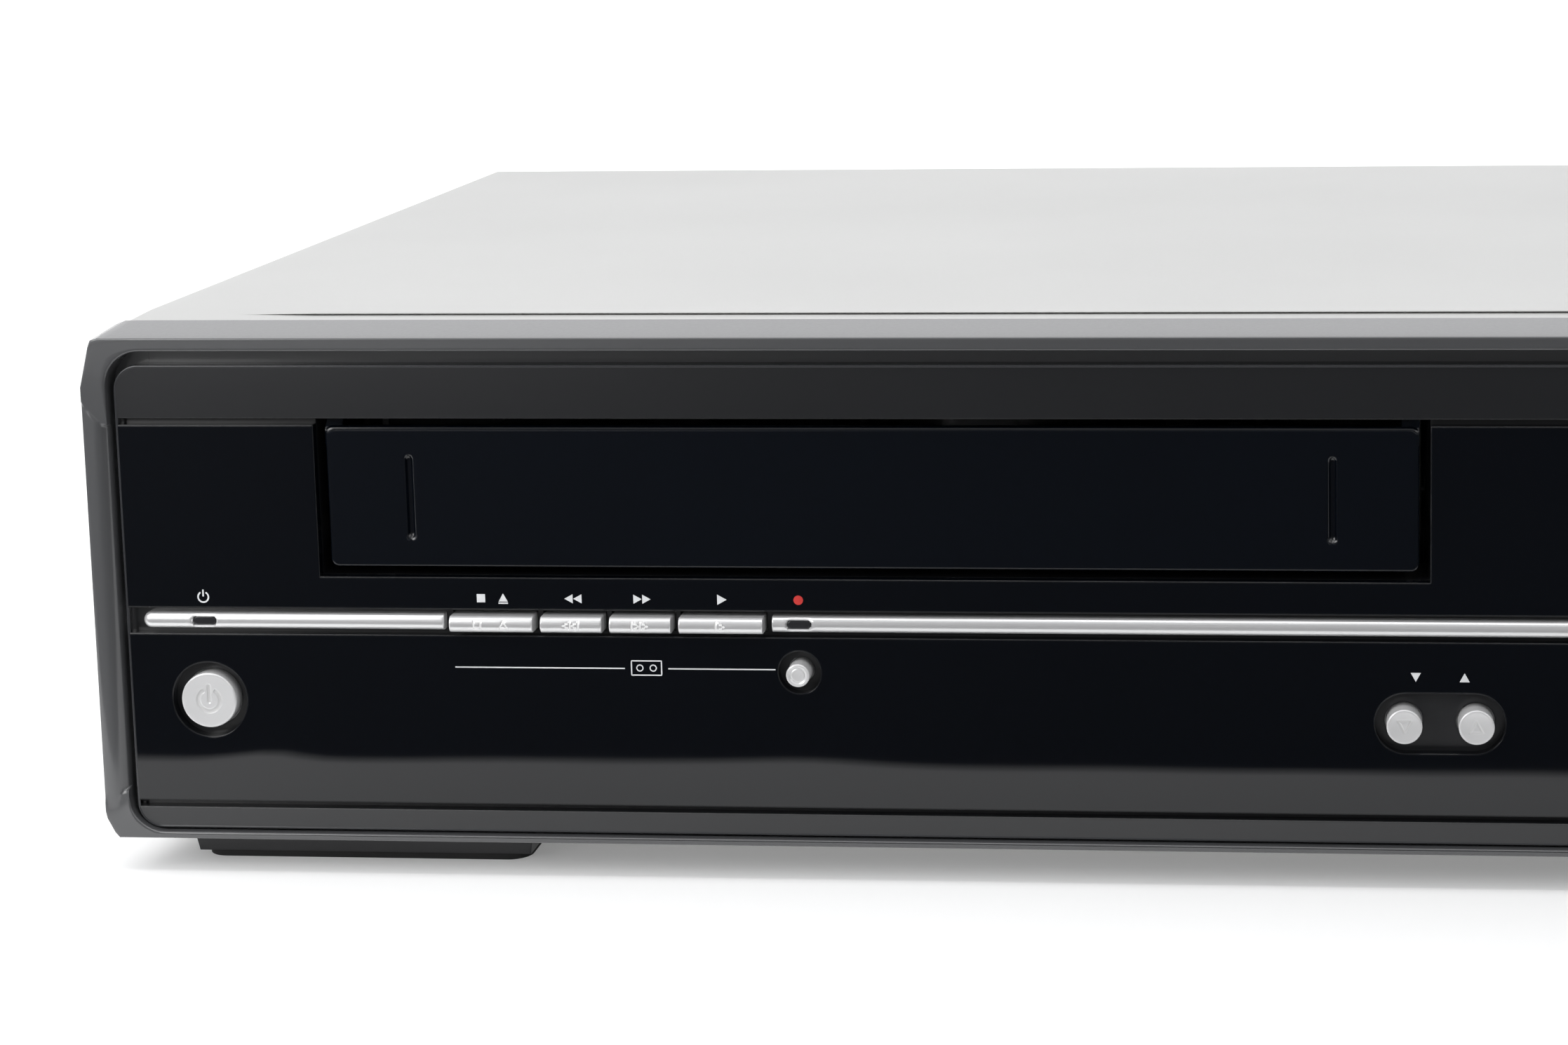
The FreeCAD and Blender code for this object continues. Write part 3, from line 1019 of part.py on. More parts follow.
carriage_z = ("tape_z - carriage_sheet - 0.1", "carriage_top")
carriage_pieces = [box("carriage_roof", ("mouth_mid - carriage_half - carriage_sheet",
                                         "mouth_mid + carriage_half + carriage_sheet"),
                       ("carriage_y", "carriage_y + carriage_long"), ("carriage_top - carriage_sheet", "carriage_top"))]
trolley_pieces = [rod("trolley_shaft", "X", ("mouth_mid - trolley_half - 0.5", "carriage_mid", "shaft_z"), "pin_round",
                      "2 * trolley_half + 1")]
trolley_cuts = []
bracket_pieces = [box("bracket_bridge", ("mouth_mid - bracket_half - carriage_sheet",
                                         "mouth_mid + bracket_half + carriage_sheet"),
                      ("bracket_y + bracket_long - 12", "bracket_y + bracket_long"),
                      ("bracket_top - carriage_sheet", "bracket_top"))]
bracket_cuts = []
for side, sign in sides:
    carriage_pieces.append(side_sheet(f"carriage_{side}", sign, "carriage_half",
                                      ("carriage_y", "carriage_y + carriage_long"), carriage_z))
    lip = sorted((f"mouth_mid + {sign} * (carriage_half - lip_wide)",
                  f"mouth_mid + {sign} * (carriage_half + carriage_sheet)"), key=amount_of)
    carriage_pieces.append(box(f"carriage_lip_{side}", lip, ("carriage_y", "carriage_y + carriage_long"),
                               ("tape_z - carriage_sheet - 0.1", "tape_z - 0.1")))
    carriage_pieces.append(side_rod(f"carriage_pin_{side}", sign, "carriage_half + carriage_sheet - 0.5",
                                    "trolley_half + carriage_sheet + 0.3", "carriage_mid", "carriage_pin_z",
                                    "pin_round"))
    trolley_pieces.append(side_sheet(f"trolley_{side}", sign, "trolley_half",
                                     ("carriage_mid - trolley_half_long", "carriage_mid + trolley_half_long"),
                                     ("carriage_pin_z - carriage_drop - 4", "shaft_z + pin_round + 1")))
    for place in ("-", "+"):
        trolley_pieces.append(side_rod(f"trolley_pin_{side}_{'front' if place == '-' else 'rear'}", sign,
                                       "trolley_half + carriage_sheet - 0.5",
                                       "bracket_half + carriage_sheet + 0.4", f"carriage_mid {place} trolley_pins",
                                       "trolley_pin_z", "pin_round"))
    bracket_pieces.append(side_sheet(f"bracket_{side}", sign, "bracket_half",
                                     ("bracket_y", "bracket_y + bracket_long"), ("deck_top", "bracket_top")))
trolley_cuts.append(box("trolley_slot", ("mouth_mid - bracket_half", "mouth_mid + bracket_half"),
                        ("carriage_mid - pin_round - pin_play", "carriage_mid + pin_round + pin_play"),
                        ("carriage_pin_z - carriage_drop - pin_round - pin_play",
                         "carriage_pin_z + pin_round + pin_play")))
bracket_cuts.append(box("bracket_slot", ("mouth_mid - deck_half", "mouth_mid + deck_half"),
                        ("carriage_mid - trolley_pins - pin_round - pin_play",
                         "carriage_mid + trolley_pins + carriage_in + pin_round + pin_play"),
                        ("trolley_pin_z - pin_round - pin_play", "trolley_pin_z + pin_round + pin_play")))
bracket_cuts.append(box("bracket_window", ("mouth_mid - deck_half", "mouth_mid + deck_half"),
                        ("bracket_y + 22", "bracket_y + bracket_long - 40"),
                        ("deck_top + 8", "trolley_pin_z - 8")))
carriage_roof_window = rounded("carriage_roof_window", "Z", ("mouth_mid - 40", "mouth_mid + 40"),
                               ("carriage_y + 14", "carriage_y + carriage_long - 14"),
                               ("carriage_top - 3", "carriage_top + 1"), "4")
piece("cassette_carriage", less("cassette_carriage", fused("carriage_shape", *carriage_pieces), carriage_roof_window))
piece("carriage_trolley", less("carriage_trolley", fused("trolley_shape", *trolley_pieces), *trolley_cuts))
piece("carriage_frame", less("carriage_frame", fused("bracket_shape", *bracket_pieces), *bracket_cuts))

# Disc drive: open tub on four posts, with rails for the drawer and the post of its pinion

drive_x = ("tray_mid - drive_half", "tray_mid + drive_half")
tub = [
    box("tub_floor", drive_x, ("drive_y", "drive_y + drive_long"), ("drive_z", "floor_top")),
    box("tub_rear", drive_x, ("drive_y + drive_long - drive_wall", "drive_y + drive_long"), ("drive_z", "drive_top")),
]
for side, sign in sides:
    for name, near, far, z in (
            ("wall", "drive_half - drive_wall", "drive_half", ("drive_z", "drive_top")),
            ("rib", "tray_half - rail_wide", "drive_half - 1", ("drive_z + 0.5", "tray_z - rail_play")),
            ("rail", "tray_half - rail_wide", "drive_half - 1",
             ("tray_top + rail_play", "tray_top + rail_play + rail_thick"))):
        across = sorted((f"tray_mid + {sign} * ({near})", f"tray_mid + {sign} * ({far})"), key=amount_of)
        tub.append(box(f"tub_{name}_{side}", across, ("drive_y", "drive_y + drive_long - 0.5"), z))
drive_posts_x = ["tray_mid - drive_half + 1", "tray_mid + drive_half - 1 - post_side"]
drive_posts_y = ["drive_y + 2", "drive_y + drive_long - 2 - post_side"]
drive_posts = [(x, y) for x in drive_posts_x for y in drive_posts_y]
for number, (x, y) in enumerate(drive_posts, 1):
    tub.append(box(f"drive_post_{number}", (x, f"{x} + post_side"), (y, f"{y} + post_side"),
                   ("pan_top", "drive_z + 0.5")))
tub.append(rod("pinion_shoulder", "Z", ("pinion_x", "pinion_y", "drive_z + 0.5"), "pinion_post + 1.6",
               "tray_z - rack_high - 0.1 - drive_z - 0.5"))
tub.append(rod("pinion_post", "Z", ("pinion_x", "pinion_y", "drive_z + 0.5"), "pinion_post",
               "tray_z - 0.4 - drive_z - 0.5"))
tub_window = rounded("tub_window", "Z", ("tray_mid - bed_half + 4", "tray_mid + bed_half - 4"),
                     ("disc_y - bed_front + 4", "disc_y - bed_front + bed_long - 4"),
                     ("drive_z - 1", "floor_top + 1"), "5")
piece("drive_frame", less("drive_frame", fused("tub", *tub), tub_window))

# Disc drawer with its two wells, open slot and rack

tray_plate = rounded("tray_plate", "Z", ("tray_mid - tray_half", "tray_mid + tray_half"),
                     ("tray_y", "tray_y + tray_long"), ("tray_z", "tray_top"), "3")
disc_well = rod("disc_well", "Z", ("tray_mid", "disc_y", "tray_top - disc_deep"), "disc_round", "disc_deep + 1")
small_well = rod("small_well", "Z", ("tray_mid", "disc_y", "tray_top - disc_deep - small_disc_deep"),
                 "small_disc_round", "disc_deep")
slot_round = rod("slot_round", "Z", ("tray_mid", "disc_y", "tray_z - 1"), "slot_half", "tray_thick + 2")
slot_cut = box("slot_cut", ("tray_mid - slot_half", "tray_mid + slot_half"), ("disc_y", "tray_y + tray_long + 1"),
               ("tray_z - 1", "tray_top + 1"))

rack_z = ("tray_z - rack_high", "tray_z + 0.3")
rack_teeth = "(floor(tray_travel / tooth_pitch) + 4)"
rack = extruded("rack", "XY", [
    ("tray_mid + rack_line + tooth_in", "pinion_y - tooth_pitch * 2"),
    ("tray_mid + rack_line + tooth_in + rack_back", "pinion_y - tooth_pitch * 2"),
    ("tray_mid + rack_line + tooth_in + rack_back", f"pinion_y + tooth_pitch * ({rack_teeth} - 1)"),
    ("tray_mid + rack_line + tooth_in", f"pinion_y + tooth_pitch * ({rack_teeth} - 1)"),
], *rack_z)
tooth_outline = outline(rack, "rack_tooth_outline", "XY", [
    ("tray_mid + rack_line + tooth_in + 0.5", "pinion_y - tooth_pitch * 1.5 - tooth_root / 2"),
    ("tray_mid + rack_line + tooth_in + 0.5", "pinion_y - tooth_pitch * 1.5 + tooth_root / 2"),
    ("tray_mid + rack_line - tooth_out", "pinion_y - tooth_pitch * 1.5 + tooth_tip / 2"),
    ("tray_mid + rack_line - tooth_out", "pinion_y - tooth_pitch * 1.5 - tooth_tip / 2"),
])
bind(tooth_outline, "AttachmentOffset.Base.z", rack_z[0])
rack_tooth = rack.newObject("PartDesign::Pad", "rack_tooth")
rack_tooth.Profile = tooth_outline
bind(rack_tooth, "Length", "rack_high")
rack_row = rack.newObject("PartDesign::LinearPattern", "rack_row")
rack_row.Originals = [rack_tooth]
rack_row.Direction = (tooth_outline, ["V_Axis"])
bind(rack_row, "Occurrences", rack_teeth)
bind(rack_row, "Length", f"tooth_pitch * ({rack_teeth} - 1)")
rack.Tip = rack_row
piece("disc_tray", less("disc_tray", fused("tray_shape", less("tray_wells", tray_plate, disc_well, small_well), rack),
                        slot_round, slot_cut))
piece("tray_front", rounded("tray_front", "Y", ("tray_mid - door_half", "tray_mid + door_half"),
                            ("face + door_set", "tray_y"), ("door_z", "door_z + door_high"), "0.8"))

# Pinion: blank, one tooth and its polar pattern, then the bore

pinion_root = "(pinion_round - tooth_in)"
pinion = turned("pinion_blank", [("0", "0"), (pinion_root, "0"), (pinion_root, "rack_high - 0.6"),
                                 ("0", "rack_high - 0.6")],
                ("pinion_x", "pinion_y", "tray_z - rack_high + 0.2"))
pinion_tooth_outline = outline(pinion, "pinion_tooth_outline", "XY", [
    (f"{pinion_root} - 0.4", "-tooth_root / 2"), ("pinion_round + tooth_out", "-tooth_tip / 2"),
    ("pinion_round + tooth_out", "tooth_tip / 2"), (f"{pinion_root} - 0.4", "tooth_root / 2"),
])
pinion_tooth = pinion.newObject("PartDesign::Pad", "pinion_tooth")
pinion_tooth.Profile = pinion_tooth_outline
bind(pinion_tooth, "Length", "rack_high - 0.6")
pinion_ring = pinion.newObject("PartDesign::PolarPattern", "pinion_ring")
pinion_ring.Originals = [pinion_tooth]
pinion_ring.Axis = (pinion_tooth_outline, ["N_Axis"])
pinion_ring.Angle = 360
bind(pinion_ring, "Occurrences", "pinion_teeth")
pinion.Tip = pinion_ring
piece("drawer_pinion", less("drawer_pinion", pinion, rod(
    "pinion_bore", "Z", ("pinion_x", "pinion_y", "tray_z - rack_high - 1"), "pinion_post + hinge_play",
    "rack_high + 2")))

# Plate under the disc, with the disc motor and the pickup's rods

bed_top = "(floor_top + bed_thick)"
bed_y = "(disc_y - bed_front)"
rod_y = ("disc_y + 9", "disc_y + 62")
bed = [
    rounded("bed_plate", "Z", ("tray_mid - bed_half", "tray_mid + bed_half"), (bed_y, f"{bed_y} + bed_long"),
            ("floor_top", bed_top), "3"),
    rod("disc_motor", "Z", ("tray_mid", "disc_y", "floor_top"), "9", "table_z - floor_top - 2"),
]
for side, sign in sides:
    x = f"(tray_mid + {sign} * rod_out)"
    bed.append(rod(f"pickup_rod_{side}", "Y", (x, rod_y[0], "rod_z"), "rod_round", f"{rod_y[1]} - ({rod_y[0]})"))
    for place, y in (("front", rod_y[0]), ("rear", f"{rod_y[1]} - 4")):
        bed.append(box(f"rod_seat_{side}_{place}", (f"{x} - 3", f"{x} + 3"), (y, f"{y} + 4"),
                       ("floor_top", "rod_z + rod_round + 0.8")))
bed_cut = box("bed_cut", ("tray_mid - 17", "tray_mid + 17"), ("disc_y + 14", "disc_y + 56"),
              ("floor_top - 1", f"{bed_top} + 1"))
motor_bore = rod("disc_motor_bore", "Z", ("tray_mid", "disc_y", f"{bed_top} + 0.5"), "spindle_round + hinge_play", "30")
piece("traverse", less("traverse", fused("traverse_shape", *bed), bed_cut, motor_bore))
piece("spindle", turned("spindle", [
    ("0", f"{bed_top} + 1"), ("spindle_round", f"{bed_top} + 1"), ("spindle_round", "table_z"),
    ("table_round", "table_z"), ("table_round", "table_z + table_thick"), ("cone_round", "table_z + table_thick"),
    ("cone_round * 0.7", "table_z + table_thick + cone_high"), ("0", "table_z + table_thick + cone_high"),
], ("tray_mid", "disc_y", "0")))
pickup_y = ("disc_y + pickup_back", "disc_y + pickup_back + pickup_long")
pickup_block = box("pickup_block", ("tray_mid - rod_out - 4", "tray_mid + rod_out + 4"), pickup_y,
                   ("rod_z - 3", "rod_z + 3"))
lens_mount = rod("lens_mount", "Z", ("tray_mid", "disc_y + pickup_back + pickup_long / 2", "rod_z"), "lens_round",
                 "tray_z - rod_z - 0.7")
pickup_bores = [rod(f"pickup_bore_{side}", "Y", (f"tray_mid + {sign} * rod_out", "disc_y", "rod_z"),
                    "rod_round + rod_play", "bed_long") for side, sign in sides]
piece("pickup", less("pickup", fused("pickup_shape", pickup_block, lens_mount), *pickup_bores))

# Bridge over the disc, with the clamp puck hanging in it

bridge = box("bridge", drive_x, ("disc_y - bridge_wide / 2", "disc_y + bridge_wide / 2"),
             ("drive_top", "drive_top + bridge_sheet"))
bridge_hole = rod("bridge_hole", "Z", ("tray_mid", "disc_y", "drive_top - 1"), "puck_neck + 0.6", "bridge_sheet + 2")
piece("clamp_bridge", less("clamp_bridge", bridge, bridge_hole))
puck_z = "(tray_top + puck_up)"
puck_hang = "(drive_top + bridge_sheet + 0.3)"
piece("clamp_puck", turned("clamp_puck", [
    ("0", puck_z), ("puck_round - 1", puck_z), ("puck_round", f"{puck_z} + 1"), ("puck_round", f"{puck_z} + 2.5"),
    ("puck_neck", f"{puck_z} + 2.5"), ("puck_neck", puck_hang), ("puck_neck + 4", puck_hang),
    ("puck_neck + 4", f"{puck_hang} + 1.5"), ("0", f"{puck_hang} + 1.5"),
], ("tray_mid", "disc_y", "0")))

# Boards under the drive

boards_x = ("half - main_in - main_wide", "half - main_in")
board_z = ("pan_top + boss_rise", "pan_top + boss_rise + board_thick")
on_board = board_z[1]
main = [box("main_sheet", boards_x, ("main_y", "main_y + main_long"), board_z)]
for number, (x, y, wide, deep, high) in enumerate([
        (20, 30, 24, 24, 2.4), (60, 20, 28, 20, 2.4), (60, 62, 20, 20, 2.4), (110, 30, 32, 32, 9),
        (110, 74, 22, 14, 3), (20, 72, 14, 10, 12)], 1):
    low = f"tray_mid - 85 + {x}"
    main.append(box(f"main_chip_{number}", (low, f"{low} + {wide}"), (f"main_y + {y}", f"main_y + {y} + {deep}"),
                    (f"{board_z[0]} + 0.5", f"{on_board} + {high}")))
post_holes = [box(f"post_hole_{number}", (f"{x} - 1", f"{x} + post_side + 1"), (f"{y} - 1", f"{y} + post_side + 1"),
                  (f"{board_z[0]} - 1", f"{on_board} + 1")) for number, (x, y) in enumerate(drive_posts, 1)]
piece("main_board", less("main_board", fused("main_shape", *main), *post_holes))
power = [box("power_sheet", boards_x, ("power_y", "power_y + power_long"), board_z)]
for number, (x, y, wide, deep, high) in enumerate([
        (20, 20, 34, 30, 28), (70, 15, 3, 60, 24), (90, 62, 26, 18, 16), (140, 10, 18, 26, 20)], 1):
    low = f"tray_mid - 85 + {x}"
    power.append(box(f"power_block_{number}", (low, f"{low} + {wide}"), (f"power_y + {y}", f"power_y + {y} + {deep}"),
                     (f"{board_z[0]} + 0.5", f"{on_board} + {high}")))
for number, (x, y, radius, high) in enumerate([(100, 32, 11, 26), (126, 30, 6, 18), (126, 50, 6, 18), (40, 72, 5, 14)], 1):
    power.append(rod(f"power_can_{number}", "Z", (f"tray_mid - 85 + {x}", f"power_y + {y}", f"{board_z[0]} + 0.5"),
                     radius, f"board_thick - 0.5 + {high}"))
piece("power_board", less("power_board", fused("power_shape", *power), *post_holes))

# Rear: tuner, picture and phono sockets, mains inlet and fan

tuner_x = "(-half + tuner_in)"
tuner_z = "(pan_top + tuner_up)"
aerials = []
aerial_bores = []
for number, up in enumerate((10, 32), 1):
    aerials.append(rod(f"aerial_{number}", "Y", (f"{tuner_x} + tuner_wide / 2", "rear_in - 1", f"{tuner_z} + {up}"),
                       "aerial_round", "rear_sheet + 1 + rear_proud"))
    aerial_bores.append(rod(f"aerial_bore_{number}", "Y",
                            (f"{tuner_x} + tuner_wide / 2", "rear + rear_proud - 7", f"{tuner_z} + {up}"),
                            "aerial_bore", "8"))
tuner_can = box("tuner_can", (tuner_x, f"{tuner_x} + tuner_wide"), ("rear_in - tuner_deep", "rear_in"),
                (tuner_z, f"{tuner_z} + tuner_high"))
piece("tuner", less("tuner", fused("tuner_shape", tuner_can, *aerials), *aerial_bores))

sockets = []
panel_holes = [rod(f"aerial_hole_{number}", "Y", (f"{tuner_x} + tuner_wide / 2", "rear_in - 1", f"{tuner_z} + {up}"),
                   "aerial_round + 0.2", "3") for number, up in enumerate((10, 32), 1)]
scart_x = ("-half + scart_in - scart_wide / 2", "-half + scart_in + scart_wide / 2")
for number in range(2):
    low = f"(pan_top + scart_up + {number} * scart_pitch)"
    outer = box(f"scart_shell_{number}", scart_x, ("rear_in - 18", "rear + 2"), (low, f"{low} + scart_high"))
    cavity = box(f"scart_cavity_{number}", (f"{scart_x[0]} + 1.2", f"{scart_x[1]} - 1.2"), ("rear - 12", "rear + 3"),
                 (f"{low} + 1.2", f"{low} + scart_high - 1.2"))
    tongue = box(f"scart_tongue_{number}", (f"{scart_x[0]} + 4", f"{scart_x[1]} - 4"), ("rear - 13", "rear - 2"),
                 (f"{low} + scart_high / 2 - 1.2", f"{low} + scart_high / 2 + 1.2"))
    sockets.append(fused(f"scart_{number}", less(f"scart_hollow_{number}", outer, cavity), tongue))
    panel_holes.append(box(f"scart_hole_{number}", (f"{scart_x[0]} - 0.3", f"{scart_x[1]} + 0.3"),
                           ("rear_in - 1", "rear + 1"), (f"{low} - 0.3", f"{low} + scart_high + 0.3")))
phono_block = box("phono_block", ("-half + phono_in - phono_pitch / 2", "-half + phono_in + phono_pitch * 2.5"),
                  ("rear_in - 10", "rear_in"),
                  ("pan_top + phono_up - phono_pitch / 2", "pan_top + phono_up + phono_pitch * 2.5"))
phonos = []
phono_bores = []
for across in range(3):
    for up in range(3):
        spot = (f"-half + phono_in + {across} * phono_pitch", f"pan_top + phono_up + {up} * phono_pitch")
        phonos.append(rod(f"phono_{across}_{up}", "Y", (spot[0], "rear_in - 1", spot[1]), "phono_round",
                          "rear_sheet + 1 + 7.5"))
        phono_bores.append(rod(f"phono_bore_{across}_{up}", "Y", (spot[0], "rear - 1", spot[1]), "phono_bore", "10"))
        panel_holes.append(rod(f"phono_hole_{across}_{up}", "Y", (spot[0], "rear_in - 1", spot[1]),
                               "phono_round + 0.2", "3"))
sockets.append(less("phono_field", fused("phono_shape", phono_block, *phonos), *phono_bores))
piece("rear_sockets", several("rear_sockets", *sockets))

inlet_x = ("half - inlet_in - inlet_wide / 2", "half - inlet_in + inlet_wide / 2")
inlet_body = rounded("inlet_body", "Y", inlet_x, ("rear_in - 16", "rear + 1.5"), ("inlet_z", "inlet_z + inlet_high"),
                     "3")
inlet_room = rounded("inlet_room", "Y", (f"{inlet_x[0]} + 2", f"{inlet_x[1]} - 2"), ("rear - 11", "rear + 3"),
                     ("inlet_z + 3", "inlet_z + inlet_high - 3"), "3")
inlet_pins = [rod(f"inlet_pin_{side}", "Y", (f"half - inlet_in + {sign} * 4.3", "rear - 12", "inlet_z + inlet_high / 2"),
                  "1.2", "9") for side, sign in sides]
piece("mains_inlet", fused("mains_inlet", less("inlet_hollow", inlet_body, inlet_room), *inlet_pins))
panel_holes.append(rounded("inlet_hole", "Y", (f"{inlet_x[0]} - 0.3", f"{inlet_x[1]} + 0.3"),
                           ("rear_in - 1", "rear + 1"), ("inlet_z - 0.3", "inlet_z + inlet_high + 0.3"), "3.3"))

fan_x = "(half - fan_in)"
fan_y = ("rear_in - fan_deep", "rear_in")
fan_box = rounded("fan_box", "Y", (f"{fan_x} - fan_side / 2", f"{fan_x} + fan_side / 2"), fan_y,
                  ("fan_z - fan_side / 2", "fan_z + fan_side / 2"), "3")
fan_room = rod("fan_room", "Y", (fan_x, "rear_in - fan_deep - 1", "fan_z"), "fan_round", "fan_deep + 2")
fan_arms = [box("fan_arm_across", (f"{fan_x} - fan_round - 0.5", f"{fan_x} + fan_round + 0.5"),
                ("rear_in - 1.6", "rear_in"), ("fan_z - 1.5", "fan_z + 1.5")),
            rod("fan_seat", "Y", (fan_x, "rear_in - 1.6", "fan_z"), "fan_hub", "1.6"),
            rod("fan_post", "Y", (fan_x, "rear_in - fan_deep + 1.5", "fan_z"), "1.5", "fan_deep - 2")]
piece("fan_frame", fused("fan_frame", less("fan_ring", fan_box, fan_room), *fan_arms))
blades = [rod("fan_hub_blank", "Z", ("0", "0", "0"), "fan_hub", "fan_deep - 2.6")]
for turn in range(7):
    blade = several(f"blade_{turn}", box(f"blade_sheet_{turn}", ("fan_hub - 1", "fan_round - blade_play"),
                                         ("-0.5", "0.5"), ("-3", "3")))
    blade.Placement = (Placement(Vector(0, 0, 3.7), Rotation(Vector(0, 0, 1), 360 / 7 * turn))
                       * Placement(Vector(), Rotation(Vector(1, 0, 0), 38)))
    blades.append(blade)
fan_rotor = less("fan_rotor", fused("rotor_shape", *blades),
                 rod("rotor_bore", "Z", ("0", "0", "-1"), "1.5 + hinge_play", "fan_deep"))
fan_rotor.Placement = Placement(Vector(), TURNS["Y"])
for base, text in zip("xyz", (fan_x, "rear_in - fan_deep + 0.5", "fan_z")):
    bind(fan_rotor, "Placement.Base." + base, text)
piece("fan_rotor", fan_rotor)
for number in range(7):
    panel_holes.append(box(f"fan_slot_{number}", (f"{fan_x} - 16.4 + {number} * 5", f"{fan_x} - 13.6 + {number} * 5"),
                           ("rear_in - 1", "rear + 1"),
                           (f"fan_z - {(9, 14, 16, 17, 16, 14, 9)[number]}", f"fan_z + {(9, 14, 16, 17, 16, 14, 9)[number]}")))
rear_blank = box("rear_blank", ("-pan_half", "pan_half"), ("rear_in", "rear"), ("pan_top", "cover_top - cover_sheet"))
piece("rear_panel", less("rear_panel", rear_blank, *panel_holes))


# Check every object, then write each sub-part to a file of its own

doc.recompute()
faults = [thing.Name for thing in doc.Objects if {"Invalid", "Error"} & set(thing.State)]
for made in nodes:
    shape = made.Shape
    if shape.isNull() or not shape.isValid() or not shape.Solids:
        faults.append(made.Label)
if faults:
    raise ValueError("not built: " + ", ".join(faults))
os.makedirs("parts", exist_ok=True)
for made in nodes:
    made.Shape.exportStep(f"parts/{made.Label}.step")
    print(made.Label, len(made.Shape.Solids), round(made.Shape.Volume))
print(len(nodes), "sub-parts")
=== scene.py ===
import math

import bmesh
import bpy
import numpy as np
from mathutils import Matrix, Vector


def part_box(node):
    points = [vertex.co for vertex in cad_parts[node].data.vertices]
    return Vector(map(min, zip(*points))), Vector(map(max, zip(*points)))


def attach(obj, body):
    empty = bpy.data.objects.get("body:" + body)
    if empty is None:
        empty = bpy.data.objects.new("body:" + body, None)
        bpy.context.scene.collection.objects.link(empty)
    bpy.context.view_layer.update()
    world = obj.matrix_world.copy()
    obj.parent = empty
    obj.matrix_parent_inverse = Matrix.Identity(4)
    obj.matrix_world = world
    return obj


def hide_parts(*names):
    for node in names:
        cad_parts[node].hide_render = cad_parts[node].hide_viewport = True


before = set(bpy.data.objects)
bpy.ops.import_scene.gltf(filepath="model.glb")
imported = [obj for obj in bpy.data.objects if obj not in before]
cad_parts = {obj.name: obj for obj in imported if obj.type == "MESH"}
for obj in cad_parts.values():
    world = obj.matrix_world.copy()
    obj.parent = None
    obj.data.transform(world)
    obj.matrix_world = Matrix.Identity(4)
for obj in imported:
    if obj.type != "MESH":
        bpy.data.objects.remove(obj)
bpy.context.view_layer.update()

# Camera
# It stands in front of the recorder and above it, a little to the right of the part that the picture shows,
# and is turned slightly to the left and down. The rest of the framing is a small shift of the lens.
eye = Vector((0.0003968, -0.6436303, 0.1809693))
heading, dip, lean = -0.0881, -0.1392, -0.0154
ahead = Vector((math.sin(heading) * math.cos(dip), math.cos(heading) * math.cos(dip), math.sin(dip)))
level = Vector((math.cos(heading), -math.sin(heading), 0))
upright = level.cross(ahead)
across = level * math.cos(lean) + upright * math.sin(lean)
above = upright * math.cos(lean) - level * math.sin(lean)
camera = bpy.data.objects.new("camera", bpy.data.cameras.new("camera"))
camera.data.sensor_width = 36
camera.data.lens = 4277.63 * 36 / 2235
camera.data.shift_x, camera.data.shift_y = -0.17, -0.16
camera.data.clip_start = 0.01
camera.matrix_world = Matrix((
    (across.x, above.x, -ahead.x, eye.x), (across.y, above.y, -ahead.y, eye.y),
    (across.z, above.z, -ahead.z, eye.z), (0, 0, 0, 1)))
bpy.context.scene.collection.objects.link(camera)
bpy.context.scene.camera = camera
bpy.context.scene.view_settings.view_transform = "Standard"


# Floor, backdrop and lights
# White paper covers the floor and runs up behind. A black card before the recorder, which only gloss can see, is a
# painted reflection of a dark room in front of it: the glossy plates mirror the paper near them, up to the card's edge,
# which is uneven and fades over 5 mm. A pale patch far out on the card's left is a painted highlight on the frame's
# upper bar.
# A broad soft lamp and a long tube hang above, two small lamps stand near on the left, a weaker one on the right,
# and a wide one lights the backdrop. The room is dim in front and below, and bright above and behind.


def grid_mesh(name, points, close_around=False, cap=False, smooth=40, flip=False):
    """A mesh from a grid of points in millimetres: neighbours in the rows and columns are joined by quads,
    the last column joins the first where close_around is set, and cap closes every open edge with one face."""
    points = np.asarray(points, float)
    rows, columns = points.shape[:2]
    number = np.arange(rows * columns).reshape(rows, columns)
    right = np.roll(number, -1, axis=1) if close_around else number[:, 1:]
    left = number if close_around else number[:, :-1]
    quads = np.stack([left[:-1], right[:-1], right[1:], left[1:]], axis=-1).reshape(-1, 4)
    mesh = bpy.data.meshes.new(name)
    mesh.from_pydata((points.reshape(-1, 3) / 1000).tolist(), [], quads.tolist())
    work = bmesh.new()
    work.from_mesh(mesh)
    bmesh.ops.remove_doubles(work, verts=work.verts, dist=1e-7)
    if cap:
        bmesh.ops.holes_fill(work, edges=[edge for edge in work.edges if edge.is_boundary], sides=0)
    bmesh.ops.recalc_face_normals(work, faces=work.faces)
    if flip:
        bmesh.ops.reverse_faces(work, faces=work.faces)
    work.to_mesh(mesh)
    work.free()
    mesh.polygons.foreach_set("use_smooth", np.ones(len(mesh.polygons), bool))
    mesh.set_sharp_from_angle(angle=math.radians(smooth))
    return mesh


def new_piece(name, meshes, material):
    """One object made of one or more meshes, with one material."""
    meshes = meshes if isinstance(meshes, list) else [meshes]
    work = bmesh.new()
    for mesh in meshes:
        work.from_mesh(mesh)
    whole = bpy.data.meshes.new(name)
    work.to_mesh(whole)
    work.free()
    whole.materials.append(material)
    piece = bpy.data.objects.new(name, whole)
    bpy.context.scene.collection.objects.link(piece)
    return piece


def new_material(name, roughness, **sockets):
    """A material whose shader has the given roughness and, by name, other values that are the same all over."""
    material = bpy.data.materials.new(name)
    material.use_nodes = True
    nodes, links = material.node_tree.nodes, material.node_tree.links
    shader = nodes["Principled BSDF"]
    shader.inputs["Roughness"].default_value = roughness
    for socket, value in sockets.items():
        shader.inputs[socket.replace("_", " ")].default_value = value
    return material, nodes, links, shader


